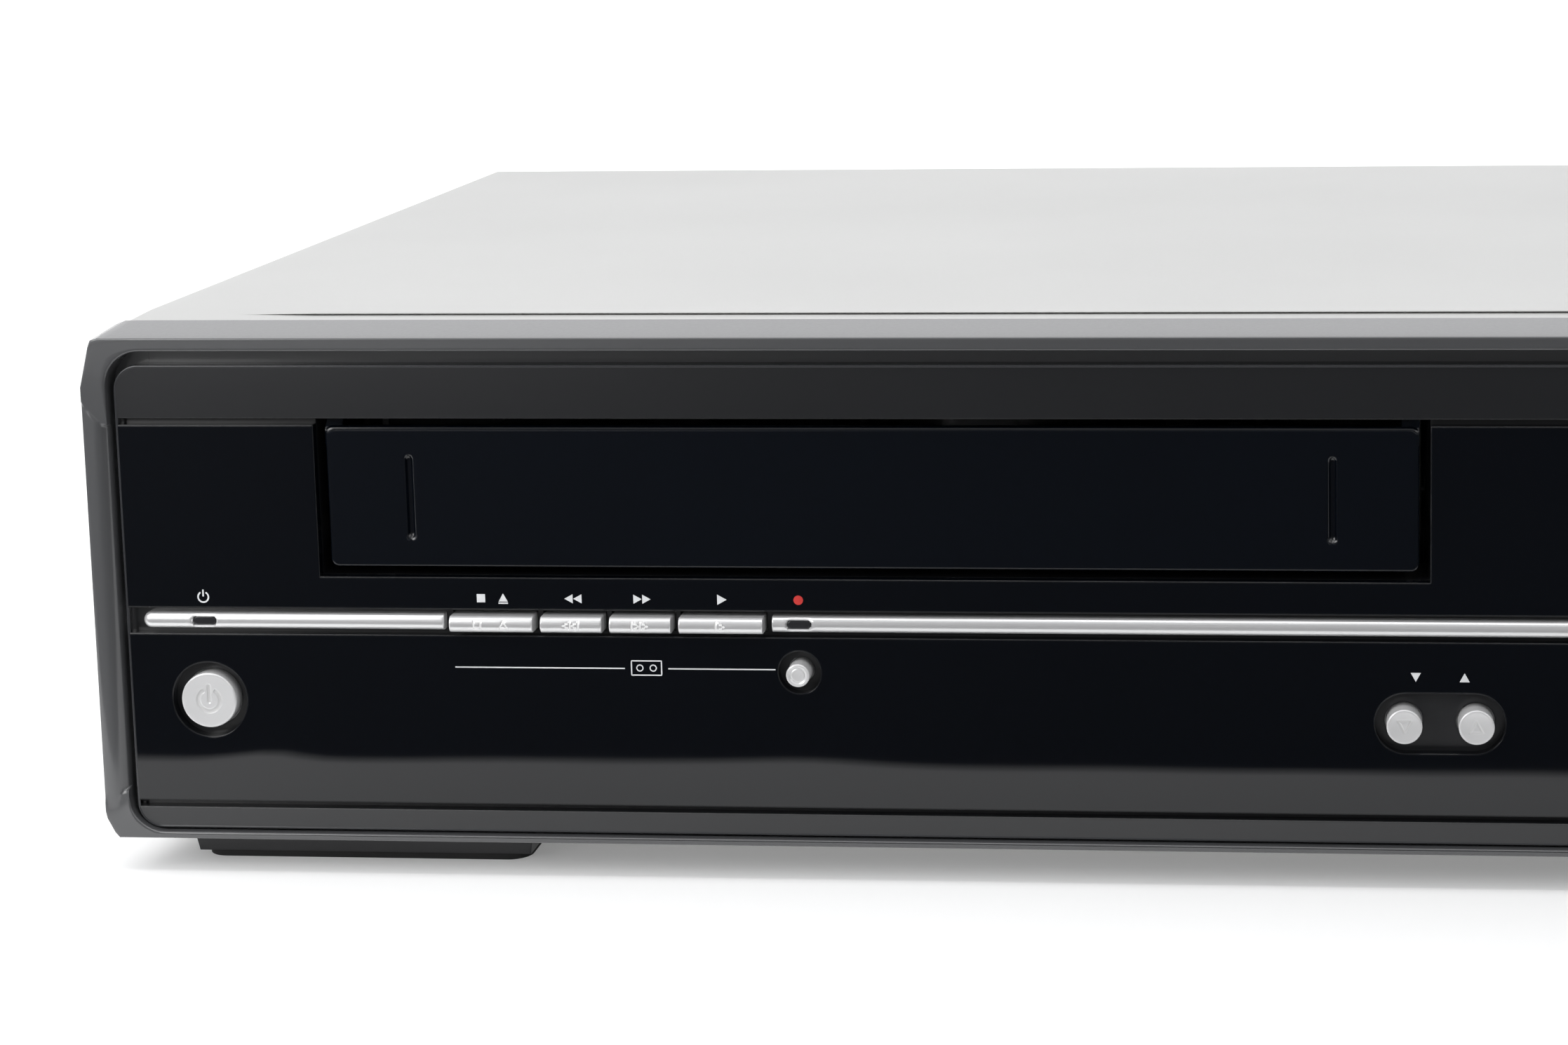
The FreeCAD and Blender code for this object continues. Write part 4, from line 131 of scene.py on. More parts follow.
side, back = np.meshgrid(np.linspace(-4000, 4000, 41), np.concatenate([np.linspace(-4000, 2600, 34),
                                                                      np.linspace(2640, 5200, 40)]))
sweep = np.where(back > 2600, 1600 * (1 - np.cos(np.clip((back - 2600) / 2600, 0, 1) * math.pi / 2)), 0)
floor_paper, nodes, links, shader = new_material("floor_paper", 0.9, Specular_IOR_Level=0.1)
shader.inputs["Base Color"].default_value = (0.84, 0.84, 0.84, 1)
shader.inputs["Emission Color"].default_value = (1, 1, 1, 1)
rays, seen, lift = nodes.new("ShaderNodeLightPath"), nodes.new("ShaderNodeMath"), nodes.new("ShaderNodeMath")
either = nodes.new("ShaderNodeMath")
seen.operation = either.operation = "MAXIMUM"
lift.operation = "MULTIPLY"
lift.inputs[1].default_value = 0.2
links.new(rays.outputs["Is Camera Ray"], either.inputs[0])
links.new(rays.outputs["Is Glossy Ray"], either.inputs[1])
links.new(either.outputs["Value"], seen.inputs[0])
links.new(rays.outputs["Is Transmission Ray"], seen.inputs[1])
links.new(seen.outputs["Value"], lift.inputs[0])
links.new(lift.outputs["Value"], shader.inputs["Emission Strength"])
floor = new_piece("floor", grid_mesh("floor", np.stack([side, back, sweep], axis=-1)), floor_paper)
# The card's colour is painted reflection: black where the plates mirror it, fading to paper white at its edge, with a
# pale patch far out on its left that the frame's upper bar mirrors as a painted highlight.
card_black, nodes, links, shader = new_material("card_black", 0.9, Specular_IOR_Level=0.1)
card_rows = np.array([-1600.0, -800, -775, -720, -705, -400, -204, -199])
side, back = np.meshgrid(np.linspace(-1500, 1500, 601), card_rows)
edge = -4.8 * np.exp(-((side + 213) / 9) ** 2) - 1.8 * np.exp(-((side + 150) / 45) ** 4)
edge = edge - 3.8 * np.exp(-((side + 101) / 16) ** 2)
painted_reflection_paleness = np.where(back == -199, 1, np.where((back == -775) | (back == -720), np.clip((-side - 120) / 200, 0, 1), 0))
back = back + (back > -300) * (edge + 0.4 * np.sin(side / 9) * np.sin(side / 23))
card_mesh = grid_mesh("black_card", np.stack([side, back, 0 * side + 0.5], axis=-1))
near = card_mesh.attributes.new("near", "FLOAT", "POINT")
near.data.foreach_set("value", painted_reflection_paleness.ravel())
fading, pale = nodes.new("ShaderNodeAttribute"), nodes.new("ShaderNodeValToRGB")
fading.attribute_name = "near"
pale.color_ramp.elements[0].color, pale.color_ramp.elements[1].color = (0.03, 0.03, 0.032, 1), (0.84, 0.84, 0.84, 1)
links.new(fading.outputs["Fac"], pale.inputs["Fac"])
links.new(pale.outputs["Color"], shader.inputs["Base Color"])
card = new_piece("black_card", card_mesh, card_black)
card.visible_camera = card.visible_diffuse = card.visible_shadow = card.visible_transmission = False

world = bpy.context.scene.world or bpy.data.worlds.new("world")
bpy.context.scene.world = world
world.use_nodes = True
nodes, links = world.node_tree.nodes, world.node_tree.links
sky = nodes["Background"]
sky.inputs["Color"].default_value = (0.98, 0.985, 1, 1)
heading_to, height, glow = (nodes.new("ShaderNode" + kind) for kind in ("TexCoord", "VectorMath", "MapRange"))
height.operation = "DOT_PRODUCT"
height.inputs[1].default_value = (0, 0.66, 0.75)
glow.inputs["From Min"].default_value, glow.inputs["From Max"].default_value = -0.4, 0.5
glow.inputs["To Min"].default_value, glow.inputs["To Max"].default_value = 0.15, 0.95
links.new(heading_to.outputs["Generated"], height.inputs[0])
links.new(height.outputs["Value"], glow.inputs["Value"])
rays, seen, bright = nodes.new("ShaderNodeLightPath"), nodes.new("ShaderNodeMath"), nodes.new("ShaderNodeMath")
seen.operation = bright.operation = "MAXIMUM"
links.new(rays.outputs["Is Camera Ray"], seen.inputs[0])
links.new(rays.outputs["Is Transmission Ray"], seen.inputs[1])
links.new(seen.outputs["Value"], bright.inputs[0])
links.new(glow.outputs["Result"], bright.inputs[1])
links.new(bright.outputs["Value"], sky.inputs["Strength"])

for name, spot, aim, wide, high, power in [
        ("lamp_above", (-0.3, 0.0, 1.8), (-0.05, 0.05, 0), 1.8, 1.8, 6),
        ("lamp_tube", (-0.1, -0.55, 1.2), (-0.1, -0.1, 0.08), 2.2, 0.14, 4),
        ("lamp_near", (-0.58, -0.56, 0.4), (-0.2, -0.13, 0.06), 0.4, 0.4, 2),
        ("lamp_left", (-0.62, -0.78, 0.3), (-0.2, -0.13, 0.06), 0.4, 0.4, 1.4),
        ("lamp_right", (1.3, -1.3, 0.9), (0, 0, 0.05), 0.9, 0.9, 3),
        ("lamp_behind", (-0.2, 1.8, 2.3), (-0.2, 3.8, 0.3), 3.4, 1.0, 60)]:
    lamp = bpy.data.objects.new(name, bpy.data.lights.new(name, "AREA"))
    lamp.data.shape = "RECTANGLE"
    lamp.data.size, lamp.data.size_y, lamp.data.energy = wide, high, power
    lamp.visible_camera = False
    lamp.location = spot
    lamp.rotation_euler = (Vector(aim) - Vector(spot)).to_track_quat("-Z", "Y").to_euler()
    bpy.context.scene.collection.objects.link(lamp)


# Top cover
# Pale coated sheet steel, 0.8 mm thick, folded down at both sides over the pan. A hem 7 mm wide stiffens its front
# edge. The rest of the top lies higher and ends over the hem in a fold, which closes before the sides. Four screws
# hold the cover from the sides.


def surface_noise(material, nodes, links, shader, colour, spread, scale, grain, depth, edge=0.0, gloss=0.04):
    """Clouds of the given scale vary the colour by the given share, fine noise varies the roughness and makes
    the bumps, both over the object's own coordinates, and edges are rounded for the light by the given radius."""
    place = nodes.new("ShaderNodeTexCoord")
    cloud = nodes.new("ShaderNodeTexNoise")
    cloud.inputs["Scale"].default_value = scale
    fine = nodes.new("ShaderNodeTexNoise")
    fine.inputs["Scale"].default_value = grain
    shade = nodes.new("ShaderNodeValToRGB")
    low, high = shade.color_ramp.elements
    low.position, high.position = 0.35, 0.65
    low.color = [value * (1 - spread) for value in colour] + [1]
    high.color = [min(value * (1 + spread), 1) for value in colour] + [1]
    rough = nodes.new("ShaderNodeMapRange")
    middle = shader.inputs["Roughness"].default_value
    rough.inputs["To Min"].default_value = max(middle - gloss, 0.02)
    rough.inputs["To Max"].default_value = min(middle + gloss, 1)
    bump = nodes.new("ShaderNodeBump")
    bump.inputs["Strength"].default_value = 0.5
    bump.inputs["Distance"].default_value = depth
    links.new(place.outputs["Object"], cloud.inputs["Vector"])
    links.new(place.outputs["Object"], fine.inputs["Vector"])
    links.new(cloud.outputs["Fac"], shade.inputs["Fac"])
    links.new(shade.outputs["Color"], shader.inputs["Base Color"])
    links.new(fine.outputs["Fac"], rough.inputs["Value"])
    links.new(rough.outputs["Result"], shader.inputs["Roughness"])
    links.new(fine.outputs["Fac"], bump.inputs["Height"])
    if edge:
        rounding = nodes.new("ShaderNodeBevel")
        rounding.samples = 4
        rounding.inputs["Radius"].default_value = edge
        links.new(rounding.outputs["Normal"], bump.inputs["Normal"])
    links.new(bump.outputs["Normal"], shader.inputs["Normal"])
    return shade


def dress(material, *names):
    """Gives solid-model nodes, by name, a material in every slot."""
    for name in names:
        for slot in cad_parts[name].material_slots:
            slot.material = material


cover_paint, nodes, links, shader = new_material("cover_paint", 0.4)
surface_noise(cover_paint, nodes, links, shader, (0.5, 0.5, 0.492), 0.02, 12, 2600, 0.00002, 0.0003)
low, high = (np.array(corner) * 1000 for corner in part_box("top_cover"))
bend, sheet = 1.6, 0.8
turn = np.linspace(0, math.pi / 2, 9)
front_rows = [(b, 0, 0.5 - 0.05 * b / 7) for b in [0, 0.03, 0.08, 0.16, 0.3] + list(np.linspace(0.6, 7, 14))]
fold_rows = [(7, 1.2, 0.45), (7, 1.2, 0.15), (7, 0, 0.15), (7, -0.06, 0.08), (7, 0.02, 0)]
back_rows = [(b, 0, 0) for b in list(np.linspace(7.4, 14, 9)) + list(np.linspace(16, high[1] - low[1], 36))]


def cover_section(inset):
    """Up the left side, round the bend, across the top, round the other bend and down, moved in by inset."""
    radius = bend - inset
    middle = high[0] - bend
    left = np.stack([-middle - radius * np.cos(turn), high[2] - bend + radius * np.sin(turn)], axis=-1)
    top = np.linspace(-middle, middle, 120)[1:-1]
    top = np.stack([top, np.full_like(top, high[2] - inset)], axis=-1)
    foot = np.array([[-high[0] + inset, low[2]]])
    half = np.concatenate([foot, left])
    return np.concatenate([half, top, half[::-1] * (-1, 1)])


def cover_skin(inset, fold):
    """The section carried from front to back over rows of (distance behind the front edge, further distance at the
    fold, depth below the top). Depth and fold hold in the middle. Towards the sides the fold closes, and the top
    rises smoothly by 0.5 mm over 14 mm instead. The hem bulges up by 0.3 mm 180 mm from the middle, and the front
    edge is rounded by 0.3 mm."""
    section = cover_section(inset)
    behind, further, stepped = np.array(front_rows + fold * fold_rows + back_rows).T[:, :, None]
    x, z = section[:, 0] + 0 * behind, section[:, 1]
    share = np.clip(behind / 14, 0, 1)
    fade = np.clip((high[0] - np.abs(x) - 22) / 12, 0, 1)
    drop = 0.5 * (1 - share * share * (3 - 2 * share)) * (1 - fade) + stepped * fade
    drop = drop - 0.3 * np.exp(-((np.abs(x) - 180) / 15) ** 2) * np.clip(1 - behind / 7, 0, 1)
    drop = drop + 0.3 - np.sqrt(0.09 - np.clip(0.3 - behind, 0, 0.3) ** 2)
    y = low[1] + behind + further * fade * (z > high[2] - bend / 2)
    return np.stack([x, y, z - drop * np.clip((z + inset - high[2] + bend) / bend, 0, 1)], axis=-1)


outside, inside = cover_skin(0, True), cover_skin(sheet, False)
cover_mesh = grid_mesh("top_cover_skin", np.concatenate([outside, inside[::-1], outside[:1]]), cap=True)
top_cover = new_piece("folded_cover", cover_mesh, cover_paint)
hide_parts("top_cover")
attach(top_cover, "case")


# Front frame
# One moulding of satin dark grey plastic round the whole front. Its upper corners are slanted, and at both sides
# the face rounds back to the panel between an upper and a lower ear. It is screwed to the pan from behind.
half, face = 217.5, float(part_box("front_bezel")[0].y) * 1000
frame_plastic, nodes, links, shader = new_material("frame_plastic", 0.4, Coat_Weight=1.0, Coat_Roughness=0.12)
surface_noise(frame_plastic, nodes, links, shader, (0.054, 0.055, 0.058), 0.03, 20, 1500, 0.000012)
arc = np.linspace(0, 1, 13)
quarter = arc * math.pi / 2


def along(corners, share):
    """Points at the given shares of the length of a line through the corners."""
    corners = np.asarray(corners, float)
    run = np.concatenate([[0], np.cumsum(np.hypot(*np.diff(corners, axis=0).T))])
    return np.stack([np.interp(share * run[-1], run, corners[:, axis]) for axis in (0, 1)], axis=-1)


def left_outline():
    """Outer and inner edge of the frame's left half as pairs of points, from the foot of the left side round the
    upper corner to the middle of the top, in millimetres from the left side and from the floor."""
    upright = np.concatenate([np.linspace(14.5, 19, 28), np.linspace(19.5, 78, 40), np.linspace(78.3, 89.4, 56)])
    outer = [along([(11.1, 6.8), (2, 6.8), (0.25, 10.3), (0, 11), (0, 14.5)], arc),
             np.stack([np.zeros_like(upright), upright], axis=-1),
             along([(0, 89.4), (0.15, 90), (2.0, 97.6), (2.9, 98.3), (11.1, 98.3)], arc)]
    inner = [np.stack([11.1 - 6.5 * np.sin(quarter), 14.5 - 6.5 * np.cos(quarter)], axis=-1),
             np.stack([np.full_like(upright, 4.6), upright], axis=-1),
             np.stack([11.1 - 6.5 * np.cos(quarter), 89.4 + 6.5 * np.sin(quarter)], axis=-1)]
    outer, inner = np.concatenate(outer), np.concatenate(inner)
    top = np.linspace(11.1, half, 40)[1:]
    outer = np.concatenate([outer, np.stack([top, np.full_like(top, 98.3)], axis=-1)])
    inner = np.concatenate([inner, np.stack([top, np.full_like(top, 95.9)], axis=-1)])
    return outer, inner


outer, inner = left_outline()
outer, inner = (np.concatenate([line, (line * (-1, 1) + (2 * half, 0))[-2::-1]]) for line in (outer, inner))
ahead_of = np.roll(outer, -1, axis=0) - np.roll(outer, 1, axis=0)
normal = np.stack([-ahead_of[:, 1], ahead_of[:, 0]], axis=-1)
normal /= np.linalg.norm(normal, axis=1)[:, None]
width = np.linalg.norm(outer - inner, axis=1)[:, None]
inward = (inner - outer) / width
layers = []
for back in (14.0, 11.0, 6.0, 2.0):
    rise = np.where(normal[:, 1:] > 0.7, 0.075, 0.04) * back
    layers.append((outer + normal * rise, np.full(len(outer), back)))
radius = np.minimum(np.where(np.abs(normal[:, 1:]) > 0.7, 0.3, 0.6), width * 0.4)
for angle in np.linspace(0, math.pi / 2, 7):
    layers.append((outer + inward * radius * (1 - math.cos(angle)), (radius * (1 - math.sin(angle)))[:, 0]))
for share in np.linspace(0.25, 0.75, 9):
    layers.append((outer + inward * width * share, np.zeros(len(outer))))
radius = np.minimum(0.5, width * 0.3)
for angle in np.linspace(math.pi / 2, 0, 5):
    layers.append((inner - inward * radius * (1 - math.cos(angle)), (radius * (1 - math.sin(angle)))[:, 0]))
for back in (2.0, 5.0):
    layers.append((inner, np.full(len(outer), back)))
for back in (5.02, 7.0):
    layers.append((inner + inward * 4, np.full(len(outer), back)))
for back in (7.2, 14.0):
    layers.append((outer + inward * 2.2, np.full(len(outer), back)))
plan = np.array([layer[0] for layer in layers])
set_back = np.array([layer[1] for layer in layers])


def upright_set(x, z, back):
    """Depth of the side uprights. Between the ears the face bulges: it is nearest 2.1 mm from the side, 0.2 mm
    behind the ears. An arc of 4.6 mm radius runs out from there, and a quarter of an ellipse goes back by 3 mm
    towards the opening. The ears end along arcs: the upper one 4.3 mm lower at the opening than
    outside, the lower one 2 mm higher. Towards its arc, each ear's face goes back by 0.4 mm over 8 mm, and a
    smooth step 0.6 mm long joins it to the upright."""
    from_side = np.clip(half - np.abs(x - half), 0, 4.6)
    share = from_side / 4.6
    column = np.where(from_side < 2.1, 4.8 - np.sqrt(4.6 ** 2 - (2.1 - from_side) ** 2),
                      3.2 - 3.0 * np.sqrt(np.maximum(1 - ((from_side - 2.1) / 2.52) ** 2, 0)))
    upper = 82.7 + 4.3 * (1 - share) ** 1.6
    lower = 13.6 + 2.0 * share ** 2
    inside = np.clip((upper - z) / 0.6, 0, 1) * np.clip((z - lower) / 0.6, 0, 1)
    inside = inside * inside * (3 - 2 * inside)
    ear = 0.4 * np.clip(1 - np.maximum(z - upper, lower - z) / 8, 0, 1) ** 2
    upright = np.maximum(back, ear * (1 - inside) + column * inside)
    return np.where(half - np.abs(x - half) < 4.7, upright, back)


x, z = plan[..., 0], plan[..., 1]
set_back = upright_set(x, z, set_back)
bezel_points = np.stack([x - half, face + set_back, z], axis=-1)
bezel = new_piece("front_frame", grid_mesh("front_frame", np.concatenate([bezel_points, bezel_points[:1]]),
                                           close_around=True, smooth=50), frame_plastic)
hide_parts("front_bezel")
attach(bezel, "case")


# Panel
# A satin black moulding with a polished, rounded edge fills the frame and shows as a band above and below. The edge
# is a bead coloured lighter than the moulding, a painted highlight besides its real gloss. Two glossy plates of black
# plastic with a blue cast are laid into it, above and below the channel of the silver strip.
# The solid model's lower plate goes back by 1.5 mm towards its foot. Its face is drawn level here, as it looks.
panel_plastic, nodes, links, shader = new_material("panel_plastic", 0.38, Coat_Weight=0.5, Coat_Roughness=0.12)
surface_noise(panel_plastic, nodes, links, shader, (0.007, 0.0075, 0.009), 0.04, 20, 1500, 0.00001, 0.0005)
dress(panel_plastic, "fascia_body")
# The edge bead's colour, lighter than the moulding's, is a painted highlight; its low roughness is real gloss.
panel_edge_painted_highlight, nodes, links, shader = new_material("panel_edge_painted_highlight", 0.16)
surface_noise(panel_edge_painted_highlight, nodes, links, shader, (0.03, 0.031, 0.034), 0.04, 20, 1500, 0.000002)
low, high = (np.array(corner) * 1000 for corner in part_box("fascia_body"))
corner = 4.5 - 0.2
turn = np.concatenate([np.linspace(0, math.pi / 2, 17) + step * math.pi / 2 for step in range(4)])
reach = np.array([high[0] - 4.5, (high[2] - low[2]) / 2 - 4.5])
sides = np.repeat([(1, 1), (-1, 1), (-1, -1), (1, -1)], 17, axis=0)
spin = np.linspace(0, 2 * math.pi, 13)[:-1, None]
flat = sides * reach + corner * np.stack([np.cos(turn), np.sin(turn)], axis=-1)
bead = np.stack([flat[:, 0] + 0.28 * np.cos(spin) * np.cos(turn), -0.28 * np.sin(spin) + low[1] + 0.2 + 0 * turn,
                 flat[:, 1] + 0.28 * np.cos(spin) * np.sin(turn) + (low[2] + high[2]) / 2], axis=-1)
rim = new_piece("panel_rim", grid_mesh("panel_rim", np.concatenate([bead, bead[:1]]), close_around=True), panel_edge_painted_highlight)
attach(rim, "case")
gloss_panel, nodes, links, shader = new_material("gloss_panel", 0.04, IOR=1.53)
surface_noise(gloss_panel, nodes, links, shader, (0.0014, 0.002, 0.0034), 0.05, 15, 40, 0.000003, 0.0005, 0.02)
dress(gloss_panel, "gloss_upper")
level_plate = bpy.data.meshes.new("lower_plate")
work = bmesh.new()
work.from_mesh(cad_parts["gloss_lower"].data)
bmesh.ops.remove_doubles(work, verts=work.verts, dist=1e-6)
work.to_mesh(level_plate)
work.free()
for layer in [layer for layer in level_plate.attributes if layer.name == "custom_normal"]:
    level_plate.attributes.remove(layer)
spots = np.empty(len(level_plate.vertices) * 3)
level_plate.vertices.foreach_get("co", spots)
spots = spots.reshape(-1, 3) * 1000
foot, front = spots[:, 2].min(), spots[:, 1].min()
drawn = front + np.interp(spots[:, 2] - foot, [0, 3.1, 6.82, 11.78], [1.5, 0.75, 0.255, 0])
spots[np.abs(spots[:, 1] - drawn) < 0.03, 1] = front
level_plate.vertices.foreach_set("co", (spots / 1000).ravel())
level_plate.polygons.foreach_set("use_smooth", np.ones(len(level_plate.polygons), bool))
level_plate.set_sharp_from_angle(angle=math.radians(20))
lower_plate = new_piece("lower_plate", level_plate, gloss_panel)
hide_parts("gloss_lower")
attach(lower_plate, "case")


# Silver strip
# Half-round trim of silver painted plastic in the channel between the glossy plates, with round ends at both
# sides of the recorder. Each length has a slot for a lamp.
silver_trim, nodes, links, shader = new_material("silver_trim", 0.24, Metallic=0.6)
surface_noise(silver_trim, nodes, links, shader, (0.74, 0.74, 0.745), 0.01, 30, 4200, 0.0000003, gloss=0.02)


def bar_mesh(name, x, z, front, back, corner, edge, step=0.5, carve=None, cut=(False, False)):
    """A bar seen from the front, as a grid over its width and height. Points outside its rounded corners are drawn
    in onto them. Its depth follows a quarter circle of the edge radius near its outline, or at an end that is cut
    off, near its upper and lower side alone, with 0.25 mm at the cut. Carve adds the depth of what is cut in. The
    border goes straight back, and the back is closed."""
    offsets = np.array([0, 0.03, 0.12, 0.28, 0.5, 0.75])
    lines = []
    for (low, high), radius in ((x, edge if not all(cut) else 0.25), (z, edge)):
        count = max(int((high - low - 2 * radius) / step), 1) + 1
        run = np.concatenate([low + radius * offsets, np.linspace(low + radius, high - radius, count),
                              (high - radius * offsets)[::-1]])
        lines.append(np.concatenate([run[:1], run, run[-1:]]))
    across, up = np.meshgrid(*lines)
    spot = np.stack([across, up], axis=-1)
    middle = np.array([sum(x) / 2, sum(z) / 2])
    reach = np.array([(x[1] - x[0]) / 2, (z[1] - z[0]) / 2])
    is_cut = np.where(across < middle[0], cut[0], cut[1])
    corners = np.where(is_cut, 0.2, corner)
    beyond = np.maximum(np.abs(spot - middle) - reach + corners[..., None], 0)
    far = np.linalg.norm(beyond, axis=-1)
    pull = np.where(far > corners, corners / np.maximum(far, 1e-9), 1)
    spot = np.where((far > corners)[..., None], middle + np.sign(spot - middle)
                    * (reach - corners[..., None] + beyond * pull[..., None]), spot)
    border = reach - np.abs(spot - middle)
    outline = corners - np.linalg.norm(np.maximum(corners[..., None] - border, 0), axis=-1)
    outline = np.where(border.min(axis=-1) > corners, border.min(axis=-1), outline)

    def fall(inside, radius):
        return radius - np.sqrt(np.maximum(radius ** 2 - (radius - np.clip(inside, 0, radius)) ** 2, 0))
    y = front + np.where(is_cut, fall(border[..., 1], edge) + fall(border[..., 0], 0.25), fall(outline, edge))
    if carve:
        y = y + carve(spot[..., 0], spot[..., 1])
    y[[0, -1], :] = back
    y[:, [0, -1]] = back
    return grid_mesh(name, np.stack([spot[..., 0], y, spot[..., 1]], axis=-1), cap=True, smooth=50)


def lamp_slot(middle):
    """Depth of a lamp slot with round ends, 4.4 mm wide and 1.6 mm high, around the given X: 0.9 mm, with walls
    0.1 mm wide inside a slanted rim 0.25 mm wide and 0.15 mm deep."""
    low, high = (corner.z * 1000 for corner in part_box("strip_middle"))

    def carve(x, z):
        far = np.hypot(np.maximum(np.abs(x - middle) - 1.4, 0), z - (low + high) / 2)
        return 0.75 * np.clip((0.85 - far) / 0.1, 0, 1) + 0.15 * np.clip((1.1 - far) / 0.25, 0, 1)
    return carve


strip_low, strip_high = (corner.z * 1000 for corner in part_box("strip_middle"))
strip_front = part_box("strip_middle")[0].y * 1000
strip_back = strip_front + 2.6
strip_ends = [bar_mesh("strip_left", (-half + 8.6, -half + 63.8), (strip_low, strip_high), strip_front, strip_back,
                       1.45, 1.3, 0.2, lamp_slot(-half + 20), (False, True)),
              bar_mesh("strip_right", (half - 63.8, half - 8.6), (strip_low, strip_high), strip_front, strip_back,
                       1.45, 1.3, 0.2, lamp_slot(half - 20), (True, False))]
strip_middle = bar_mesh("strip_middle_bar", (-half + 122.8, half - 122.8), (strip_low, strip_high), strip_front,
                        strip_back, 0.2, 1.3, 0.3, lamp_slot(-half + 127.6), (True, True))
for name, meshes, node in (("silver_ends", strip_ends, "strip_ends"), ("silver_middle", strip_middle, "strip_middle")):
    piece = new_piece(name, meshes, silver_trim)
    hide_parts(node)
    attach(piece, "case")
clear_lens, nodes, links, shader = new_material("clear_lens", 0.12, IOR=1.49)
surface_noise(clear_lens, nodes, links, shader, (0.02, 0.02, 0.022), 0.05, 400, 900, 0.000003, 0.0001)
lens_middle = (strip_low + strip_high) / 2
lenses = [bar_mesh("lens", (x - 2.15, x + 2.15), (lens_middle - 0.76, lens_middle + 0.76), strip_front + 0.4,
                   strip_front + 2, 0.74, 0.2, 0.2) for x in (-half + 20, -half + 127.6, half - 20)]
lamp_lenses = new_piece("lamp_lenses", lenses, clear_lens)
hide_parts("indicator_lenses")
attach(lamp_lenses, "case")


# Keys
# Eight silver painted keys stand 1.6 mm before the strip, four at each side. Each has its own cut-out, presses in
# against a switch, and has the outline of its sign cut into its face as a fine light line.
silver_keys, nodes, links, shader = new_material("silver_keys", 0.24, Metallic=0.6)
surface_noise(silver_keys, nodes, links, shader, (0.76, 0.76, 0.765), 0.01, 40, 4200, 0.0000003, gloss=0.02)
sign_ink, nodes, links, shader = new_material("sign_ink", 0.5, Metallic=0.3)
surface_noise(sign_ink, nodes, links, shader, (0.8, 0.8, 0.8), 0.02, 600, 2600, 0.000001)


def line_distance(x, z, corners):
    """Distance from points to the closed line through the corners: the least over its straight sides, each the
    distance to the foot of the perpendicular or to the nearer end."""
    least = np.full(np.shape(x), np.inf)
    for start, stop in zip(corners, corners[1:] + corners[:1]):
        run = np.subtract(stop, start)
        share = np.clip(((x - start[0]) * run[0] + (z - start[1]) * run[1]) / (run @ run), 0, 1)
        least = np.minimum(least, np.hypot(x - start[0] - share * run[0], z - start[1] - share * run[1]))
    return least


def triangle(x, z, size, turn):
    """Corners of a triangle that points right, up, left or down for turns 0, 1, 2 and 3."""
    corners = [(-0.5, -0.55), (0.5, 0), (-0.5, 0.55)]
    spin = [(1, 0), (0, 1), (-1, 0), (0, -1)][turn]
    return [(x + size * (a * spin[0] - b * spin[1]), z + size * (a * spin[1] + b * spin[0])) for a, b in corners]


def square(x, z, size):
    """Corners of a square around a point."""
    return [(x + size * a, z + size * b) for a, b in ((-0.5, -0.5), (0.5, -0.5), (0.5, 0.5), (-0.5, 0.5))]


def engraving(shapes, line=0.13, cut=0.06):
    """Depth of outlines cut into a face: the full cut on the line, and none from one line width beside it."""
    def carve(x, z):
        least = np.min([line_distance(x, z, shape) for shape in shapes], axis=0)
        return cut * np.clip(1.5 - least / line, 0, 1)
    return carve


def ink(mesh, carve, cut=0.06):
    """Faces whose middle lies in an engraved line take the second material."""
    middles = np.empty(len(mesh.polygons) * 3)
    mesh.polygons.foreach_get("center", middles)
    middles = middles.reshape(-1, 3) * 1000
    level = carve(middles[:, 0], middles[:, 2])
    index = (level > cut * 0.45).astype(np.int32)
    mesh.polygons.foreach_set("material_index", index)


def key_signs(name, x, z):
    """Outlines of a key's sign around its middle."""
    return {
        "stop_eject_key": [square(x - 2.4, z, 1.2), triangle(x + 2.3, z + 0.1, 1.25, 1),
                           [(x + 1.6, z - 0.8), (x + 3.0, z - 0.8)]],
        "rewind_key": [triangle(x - 0.75, z, 1.3, 2), triangle(x + 0.75, z, 1.3, 2)],
        "forward_key": [triangle(x - 0.75, z, 1.3, 0), triangle(x + 0.75, z, 1.3, 0)],
        "play_key": [triangle(x, z, 1.5, 0)],
        "disc_open_key": [triangle(x, z + 0.15, 1.3, 1), [(x - 0.75, z - 0.8), (x + 0.75, z - 0.8)]],
        "disc_stop_key": [square(x, z, 1.3)],
        "disc_skip_key": [triangle(x - 0.6, z, 1.3, 0), [(x + 0.5, z - 0.7), (x + 0.5, z + 0.7)]],
        "disc_play_key": [triangle(x, z, 1.5, 0)],
    }[name]


key_widths = {"rewind_key": 11, "forward_key": 11, "disc_stop_key": 11, "disc_skip_key": 11}
for name in ("stop_eject_key", "rewind_key", "forward_key", "play_key", "disc_open_key", "disc_stop_key",
             "disc_skip_key", "disc_play_key"):
    low, high = (np.array(corner) * 1000 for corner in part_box(name))
    wide = key_widths.get(name, 15) / 2
    x, z = (low[0] + high[0]) / 2, (strip_low + strip_high) / 2
    carve = engraving(key_signs(name, x, z))
    mesh = bar_mesh(name + "_cap", (x - wide, x + wide), (z - 1.5, z + 1.5), low[1], high[1] - 2.7, 0.2, 1.3, 0.08, carve,
                    (True, True))
    ink(mesh, carve)
    flange = bar_mesh(name + "_flange", (low[0], high[0]), (low[2], high[2]), high[1] - 2.7, high[1] - 1.7, 0.3, 0.1, 4)
    stem = bar_mesh(name + "_stem", (x - 1.5, x + 1.5), (z - 1, z + 1), high[1] - 1.7, high[1], 0.2, 0.1, 2)
    piece = new_piece(name + "_moulding", [mesh, flange, stem], silver_keys)
    piece.data.materials.append(sign_ink)
    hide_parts(name)
    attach(piece, name)


# Round buttons
# Silver painted caps in dished recesses: the large one for standby has a ring and bar cut into its turned face, the
# two small ones with a ring groove start a recording, and the pair in the oval recess chooses the programme.


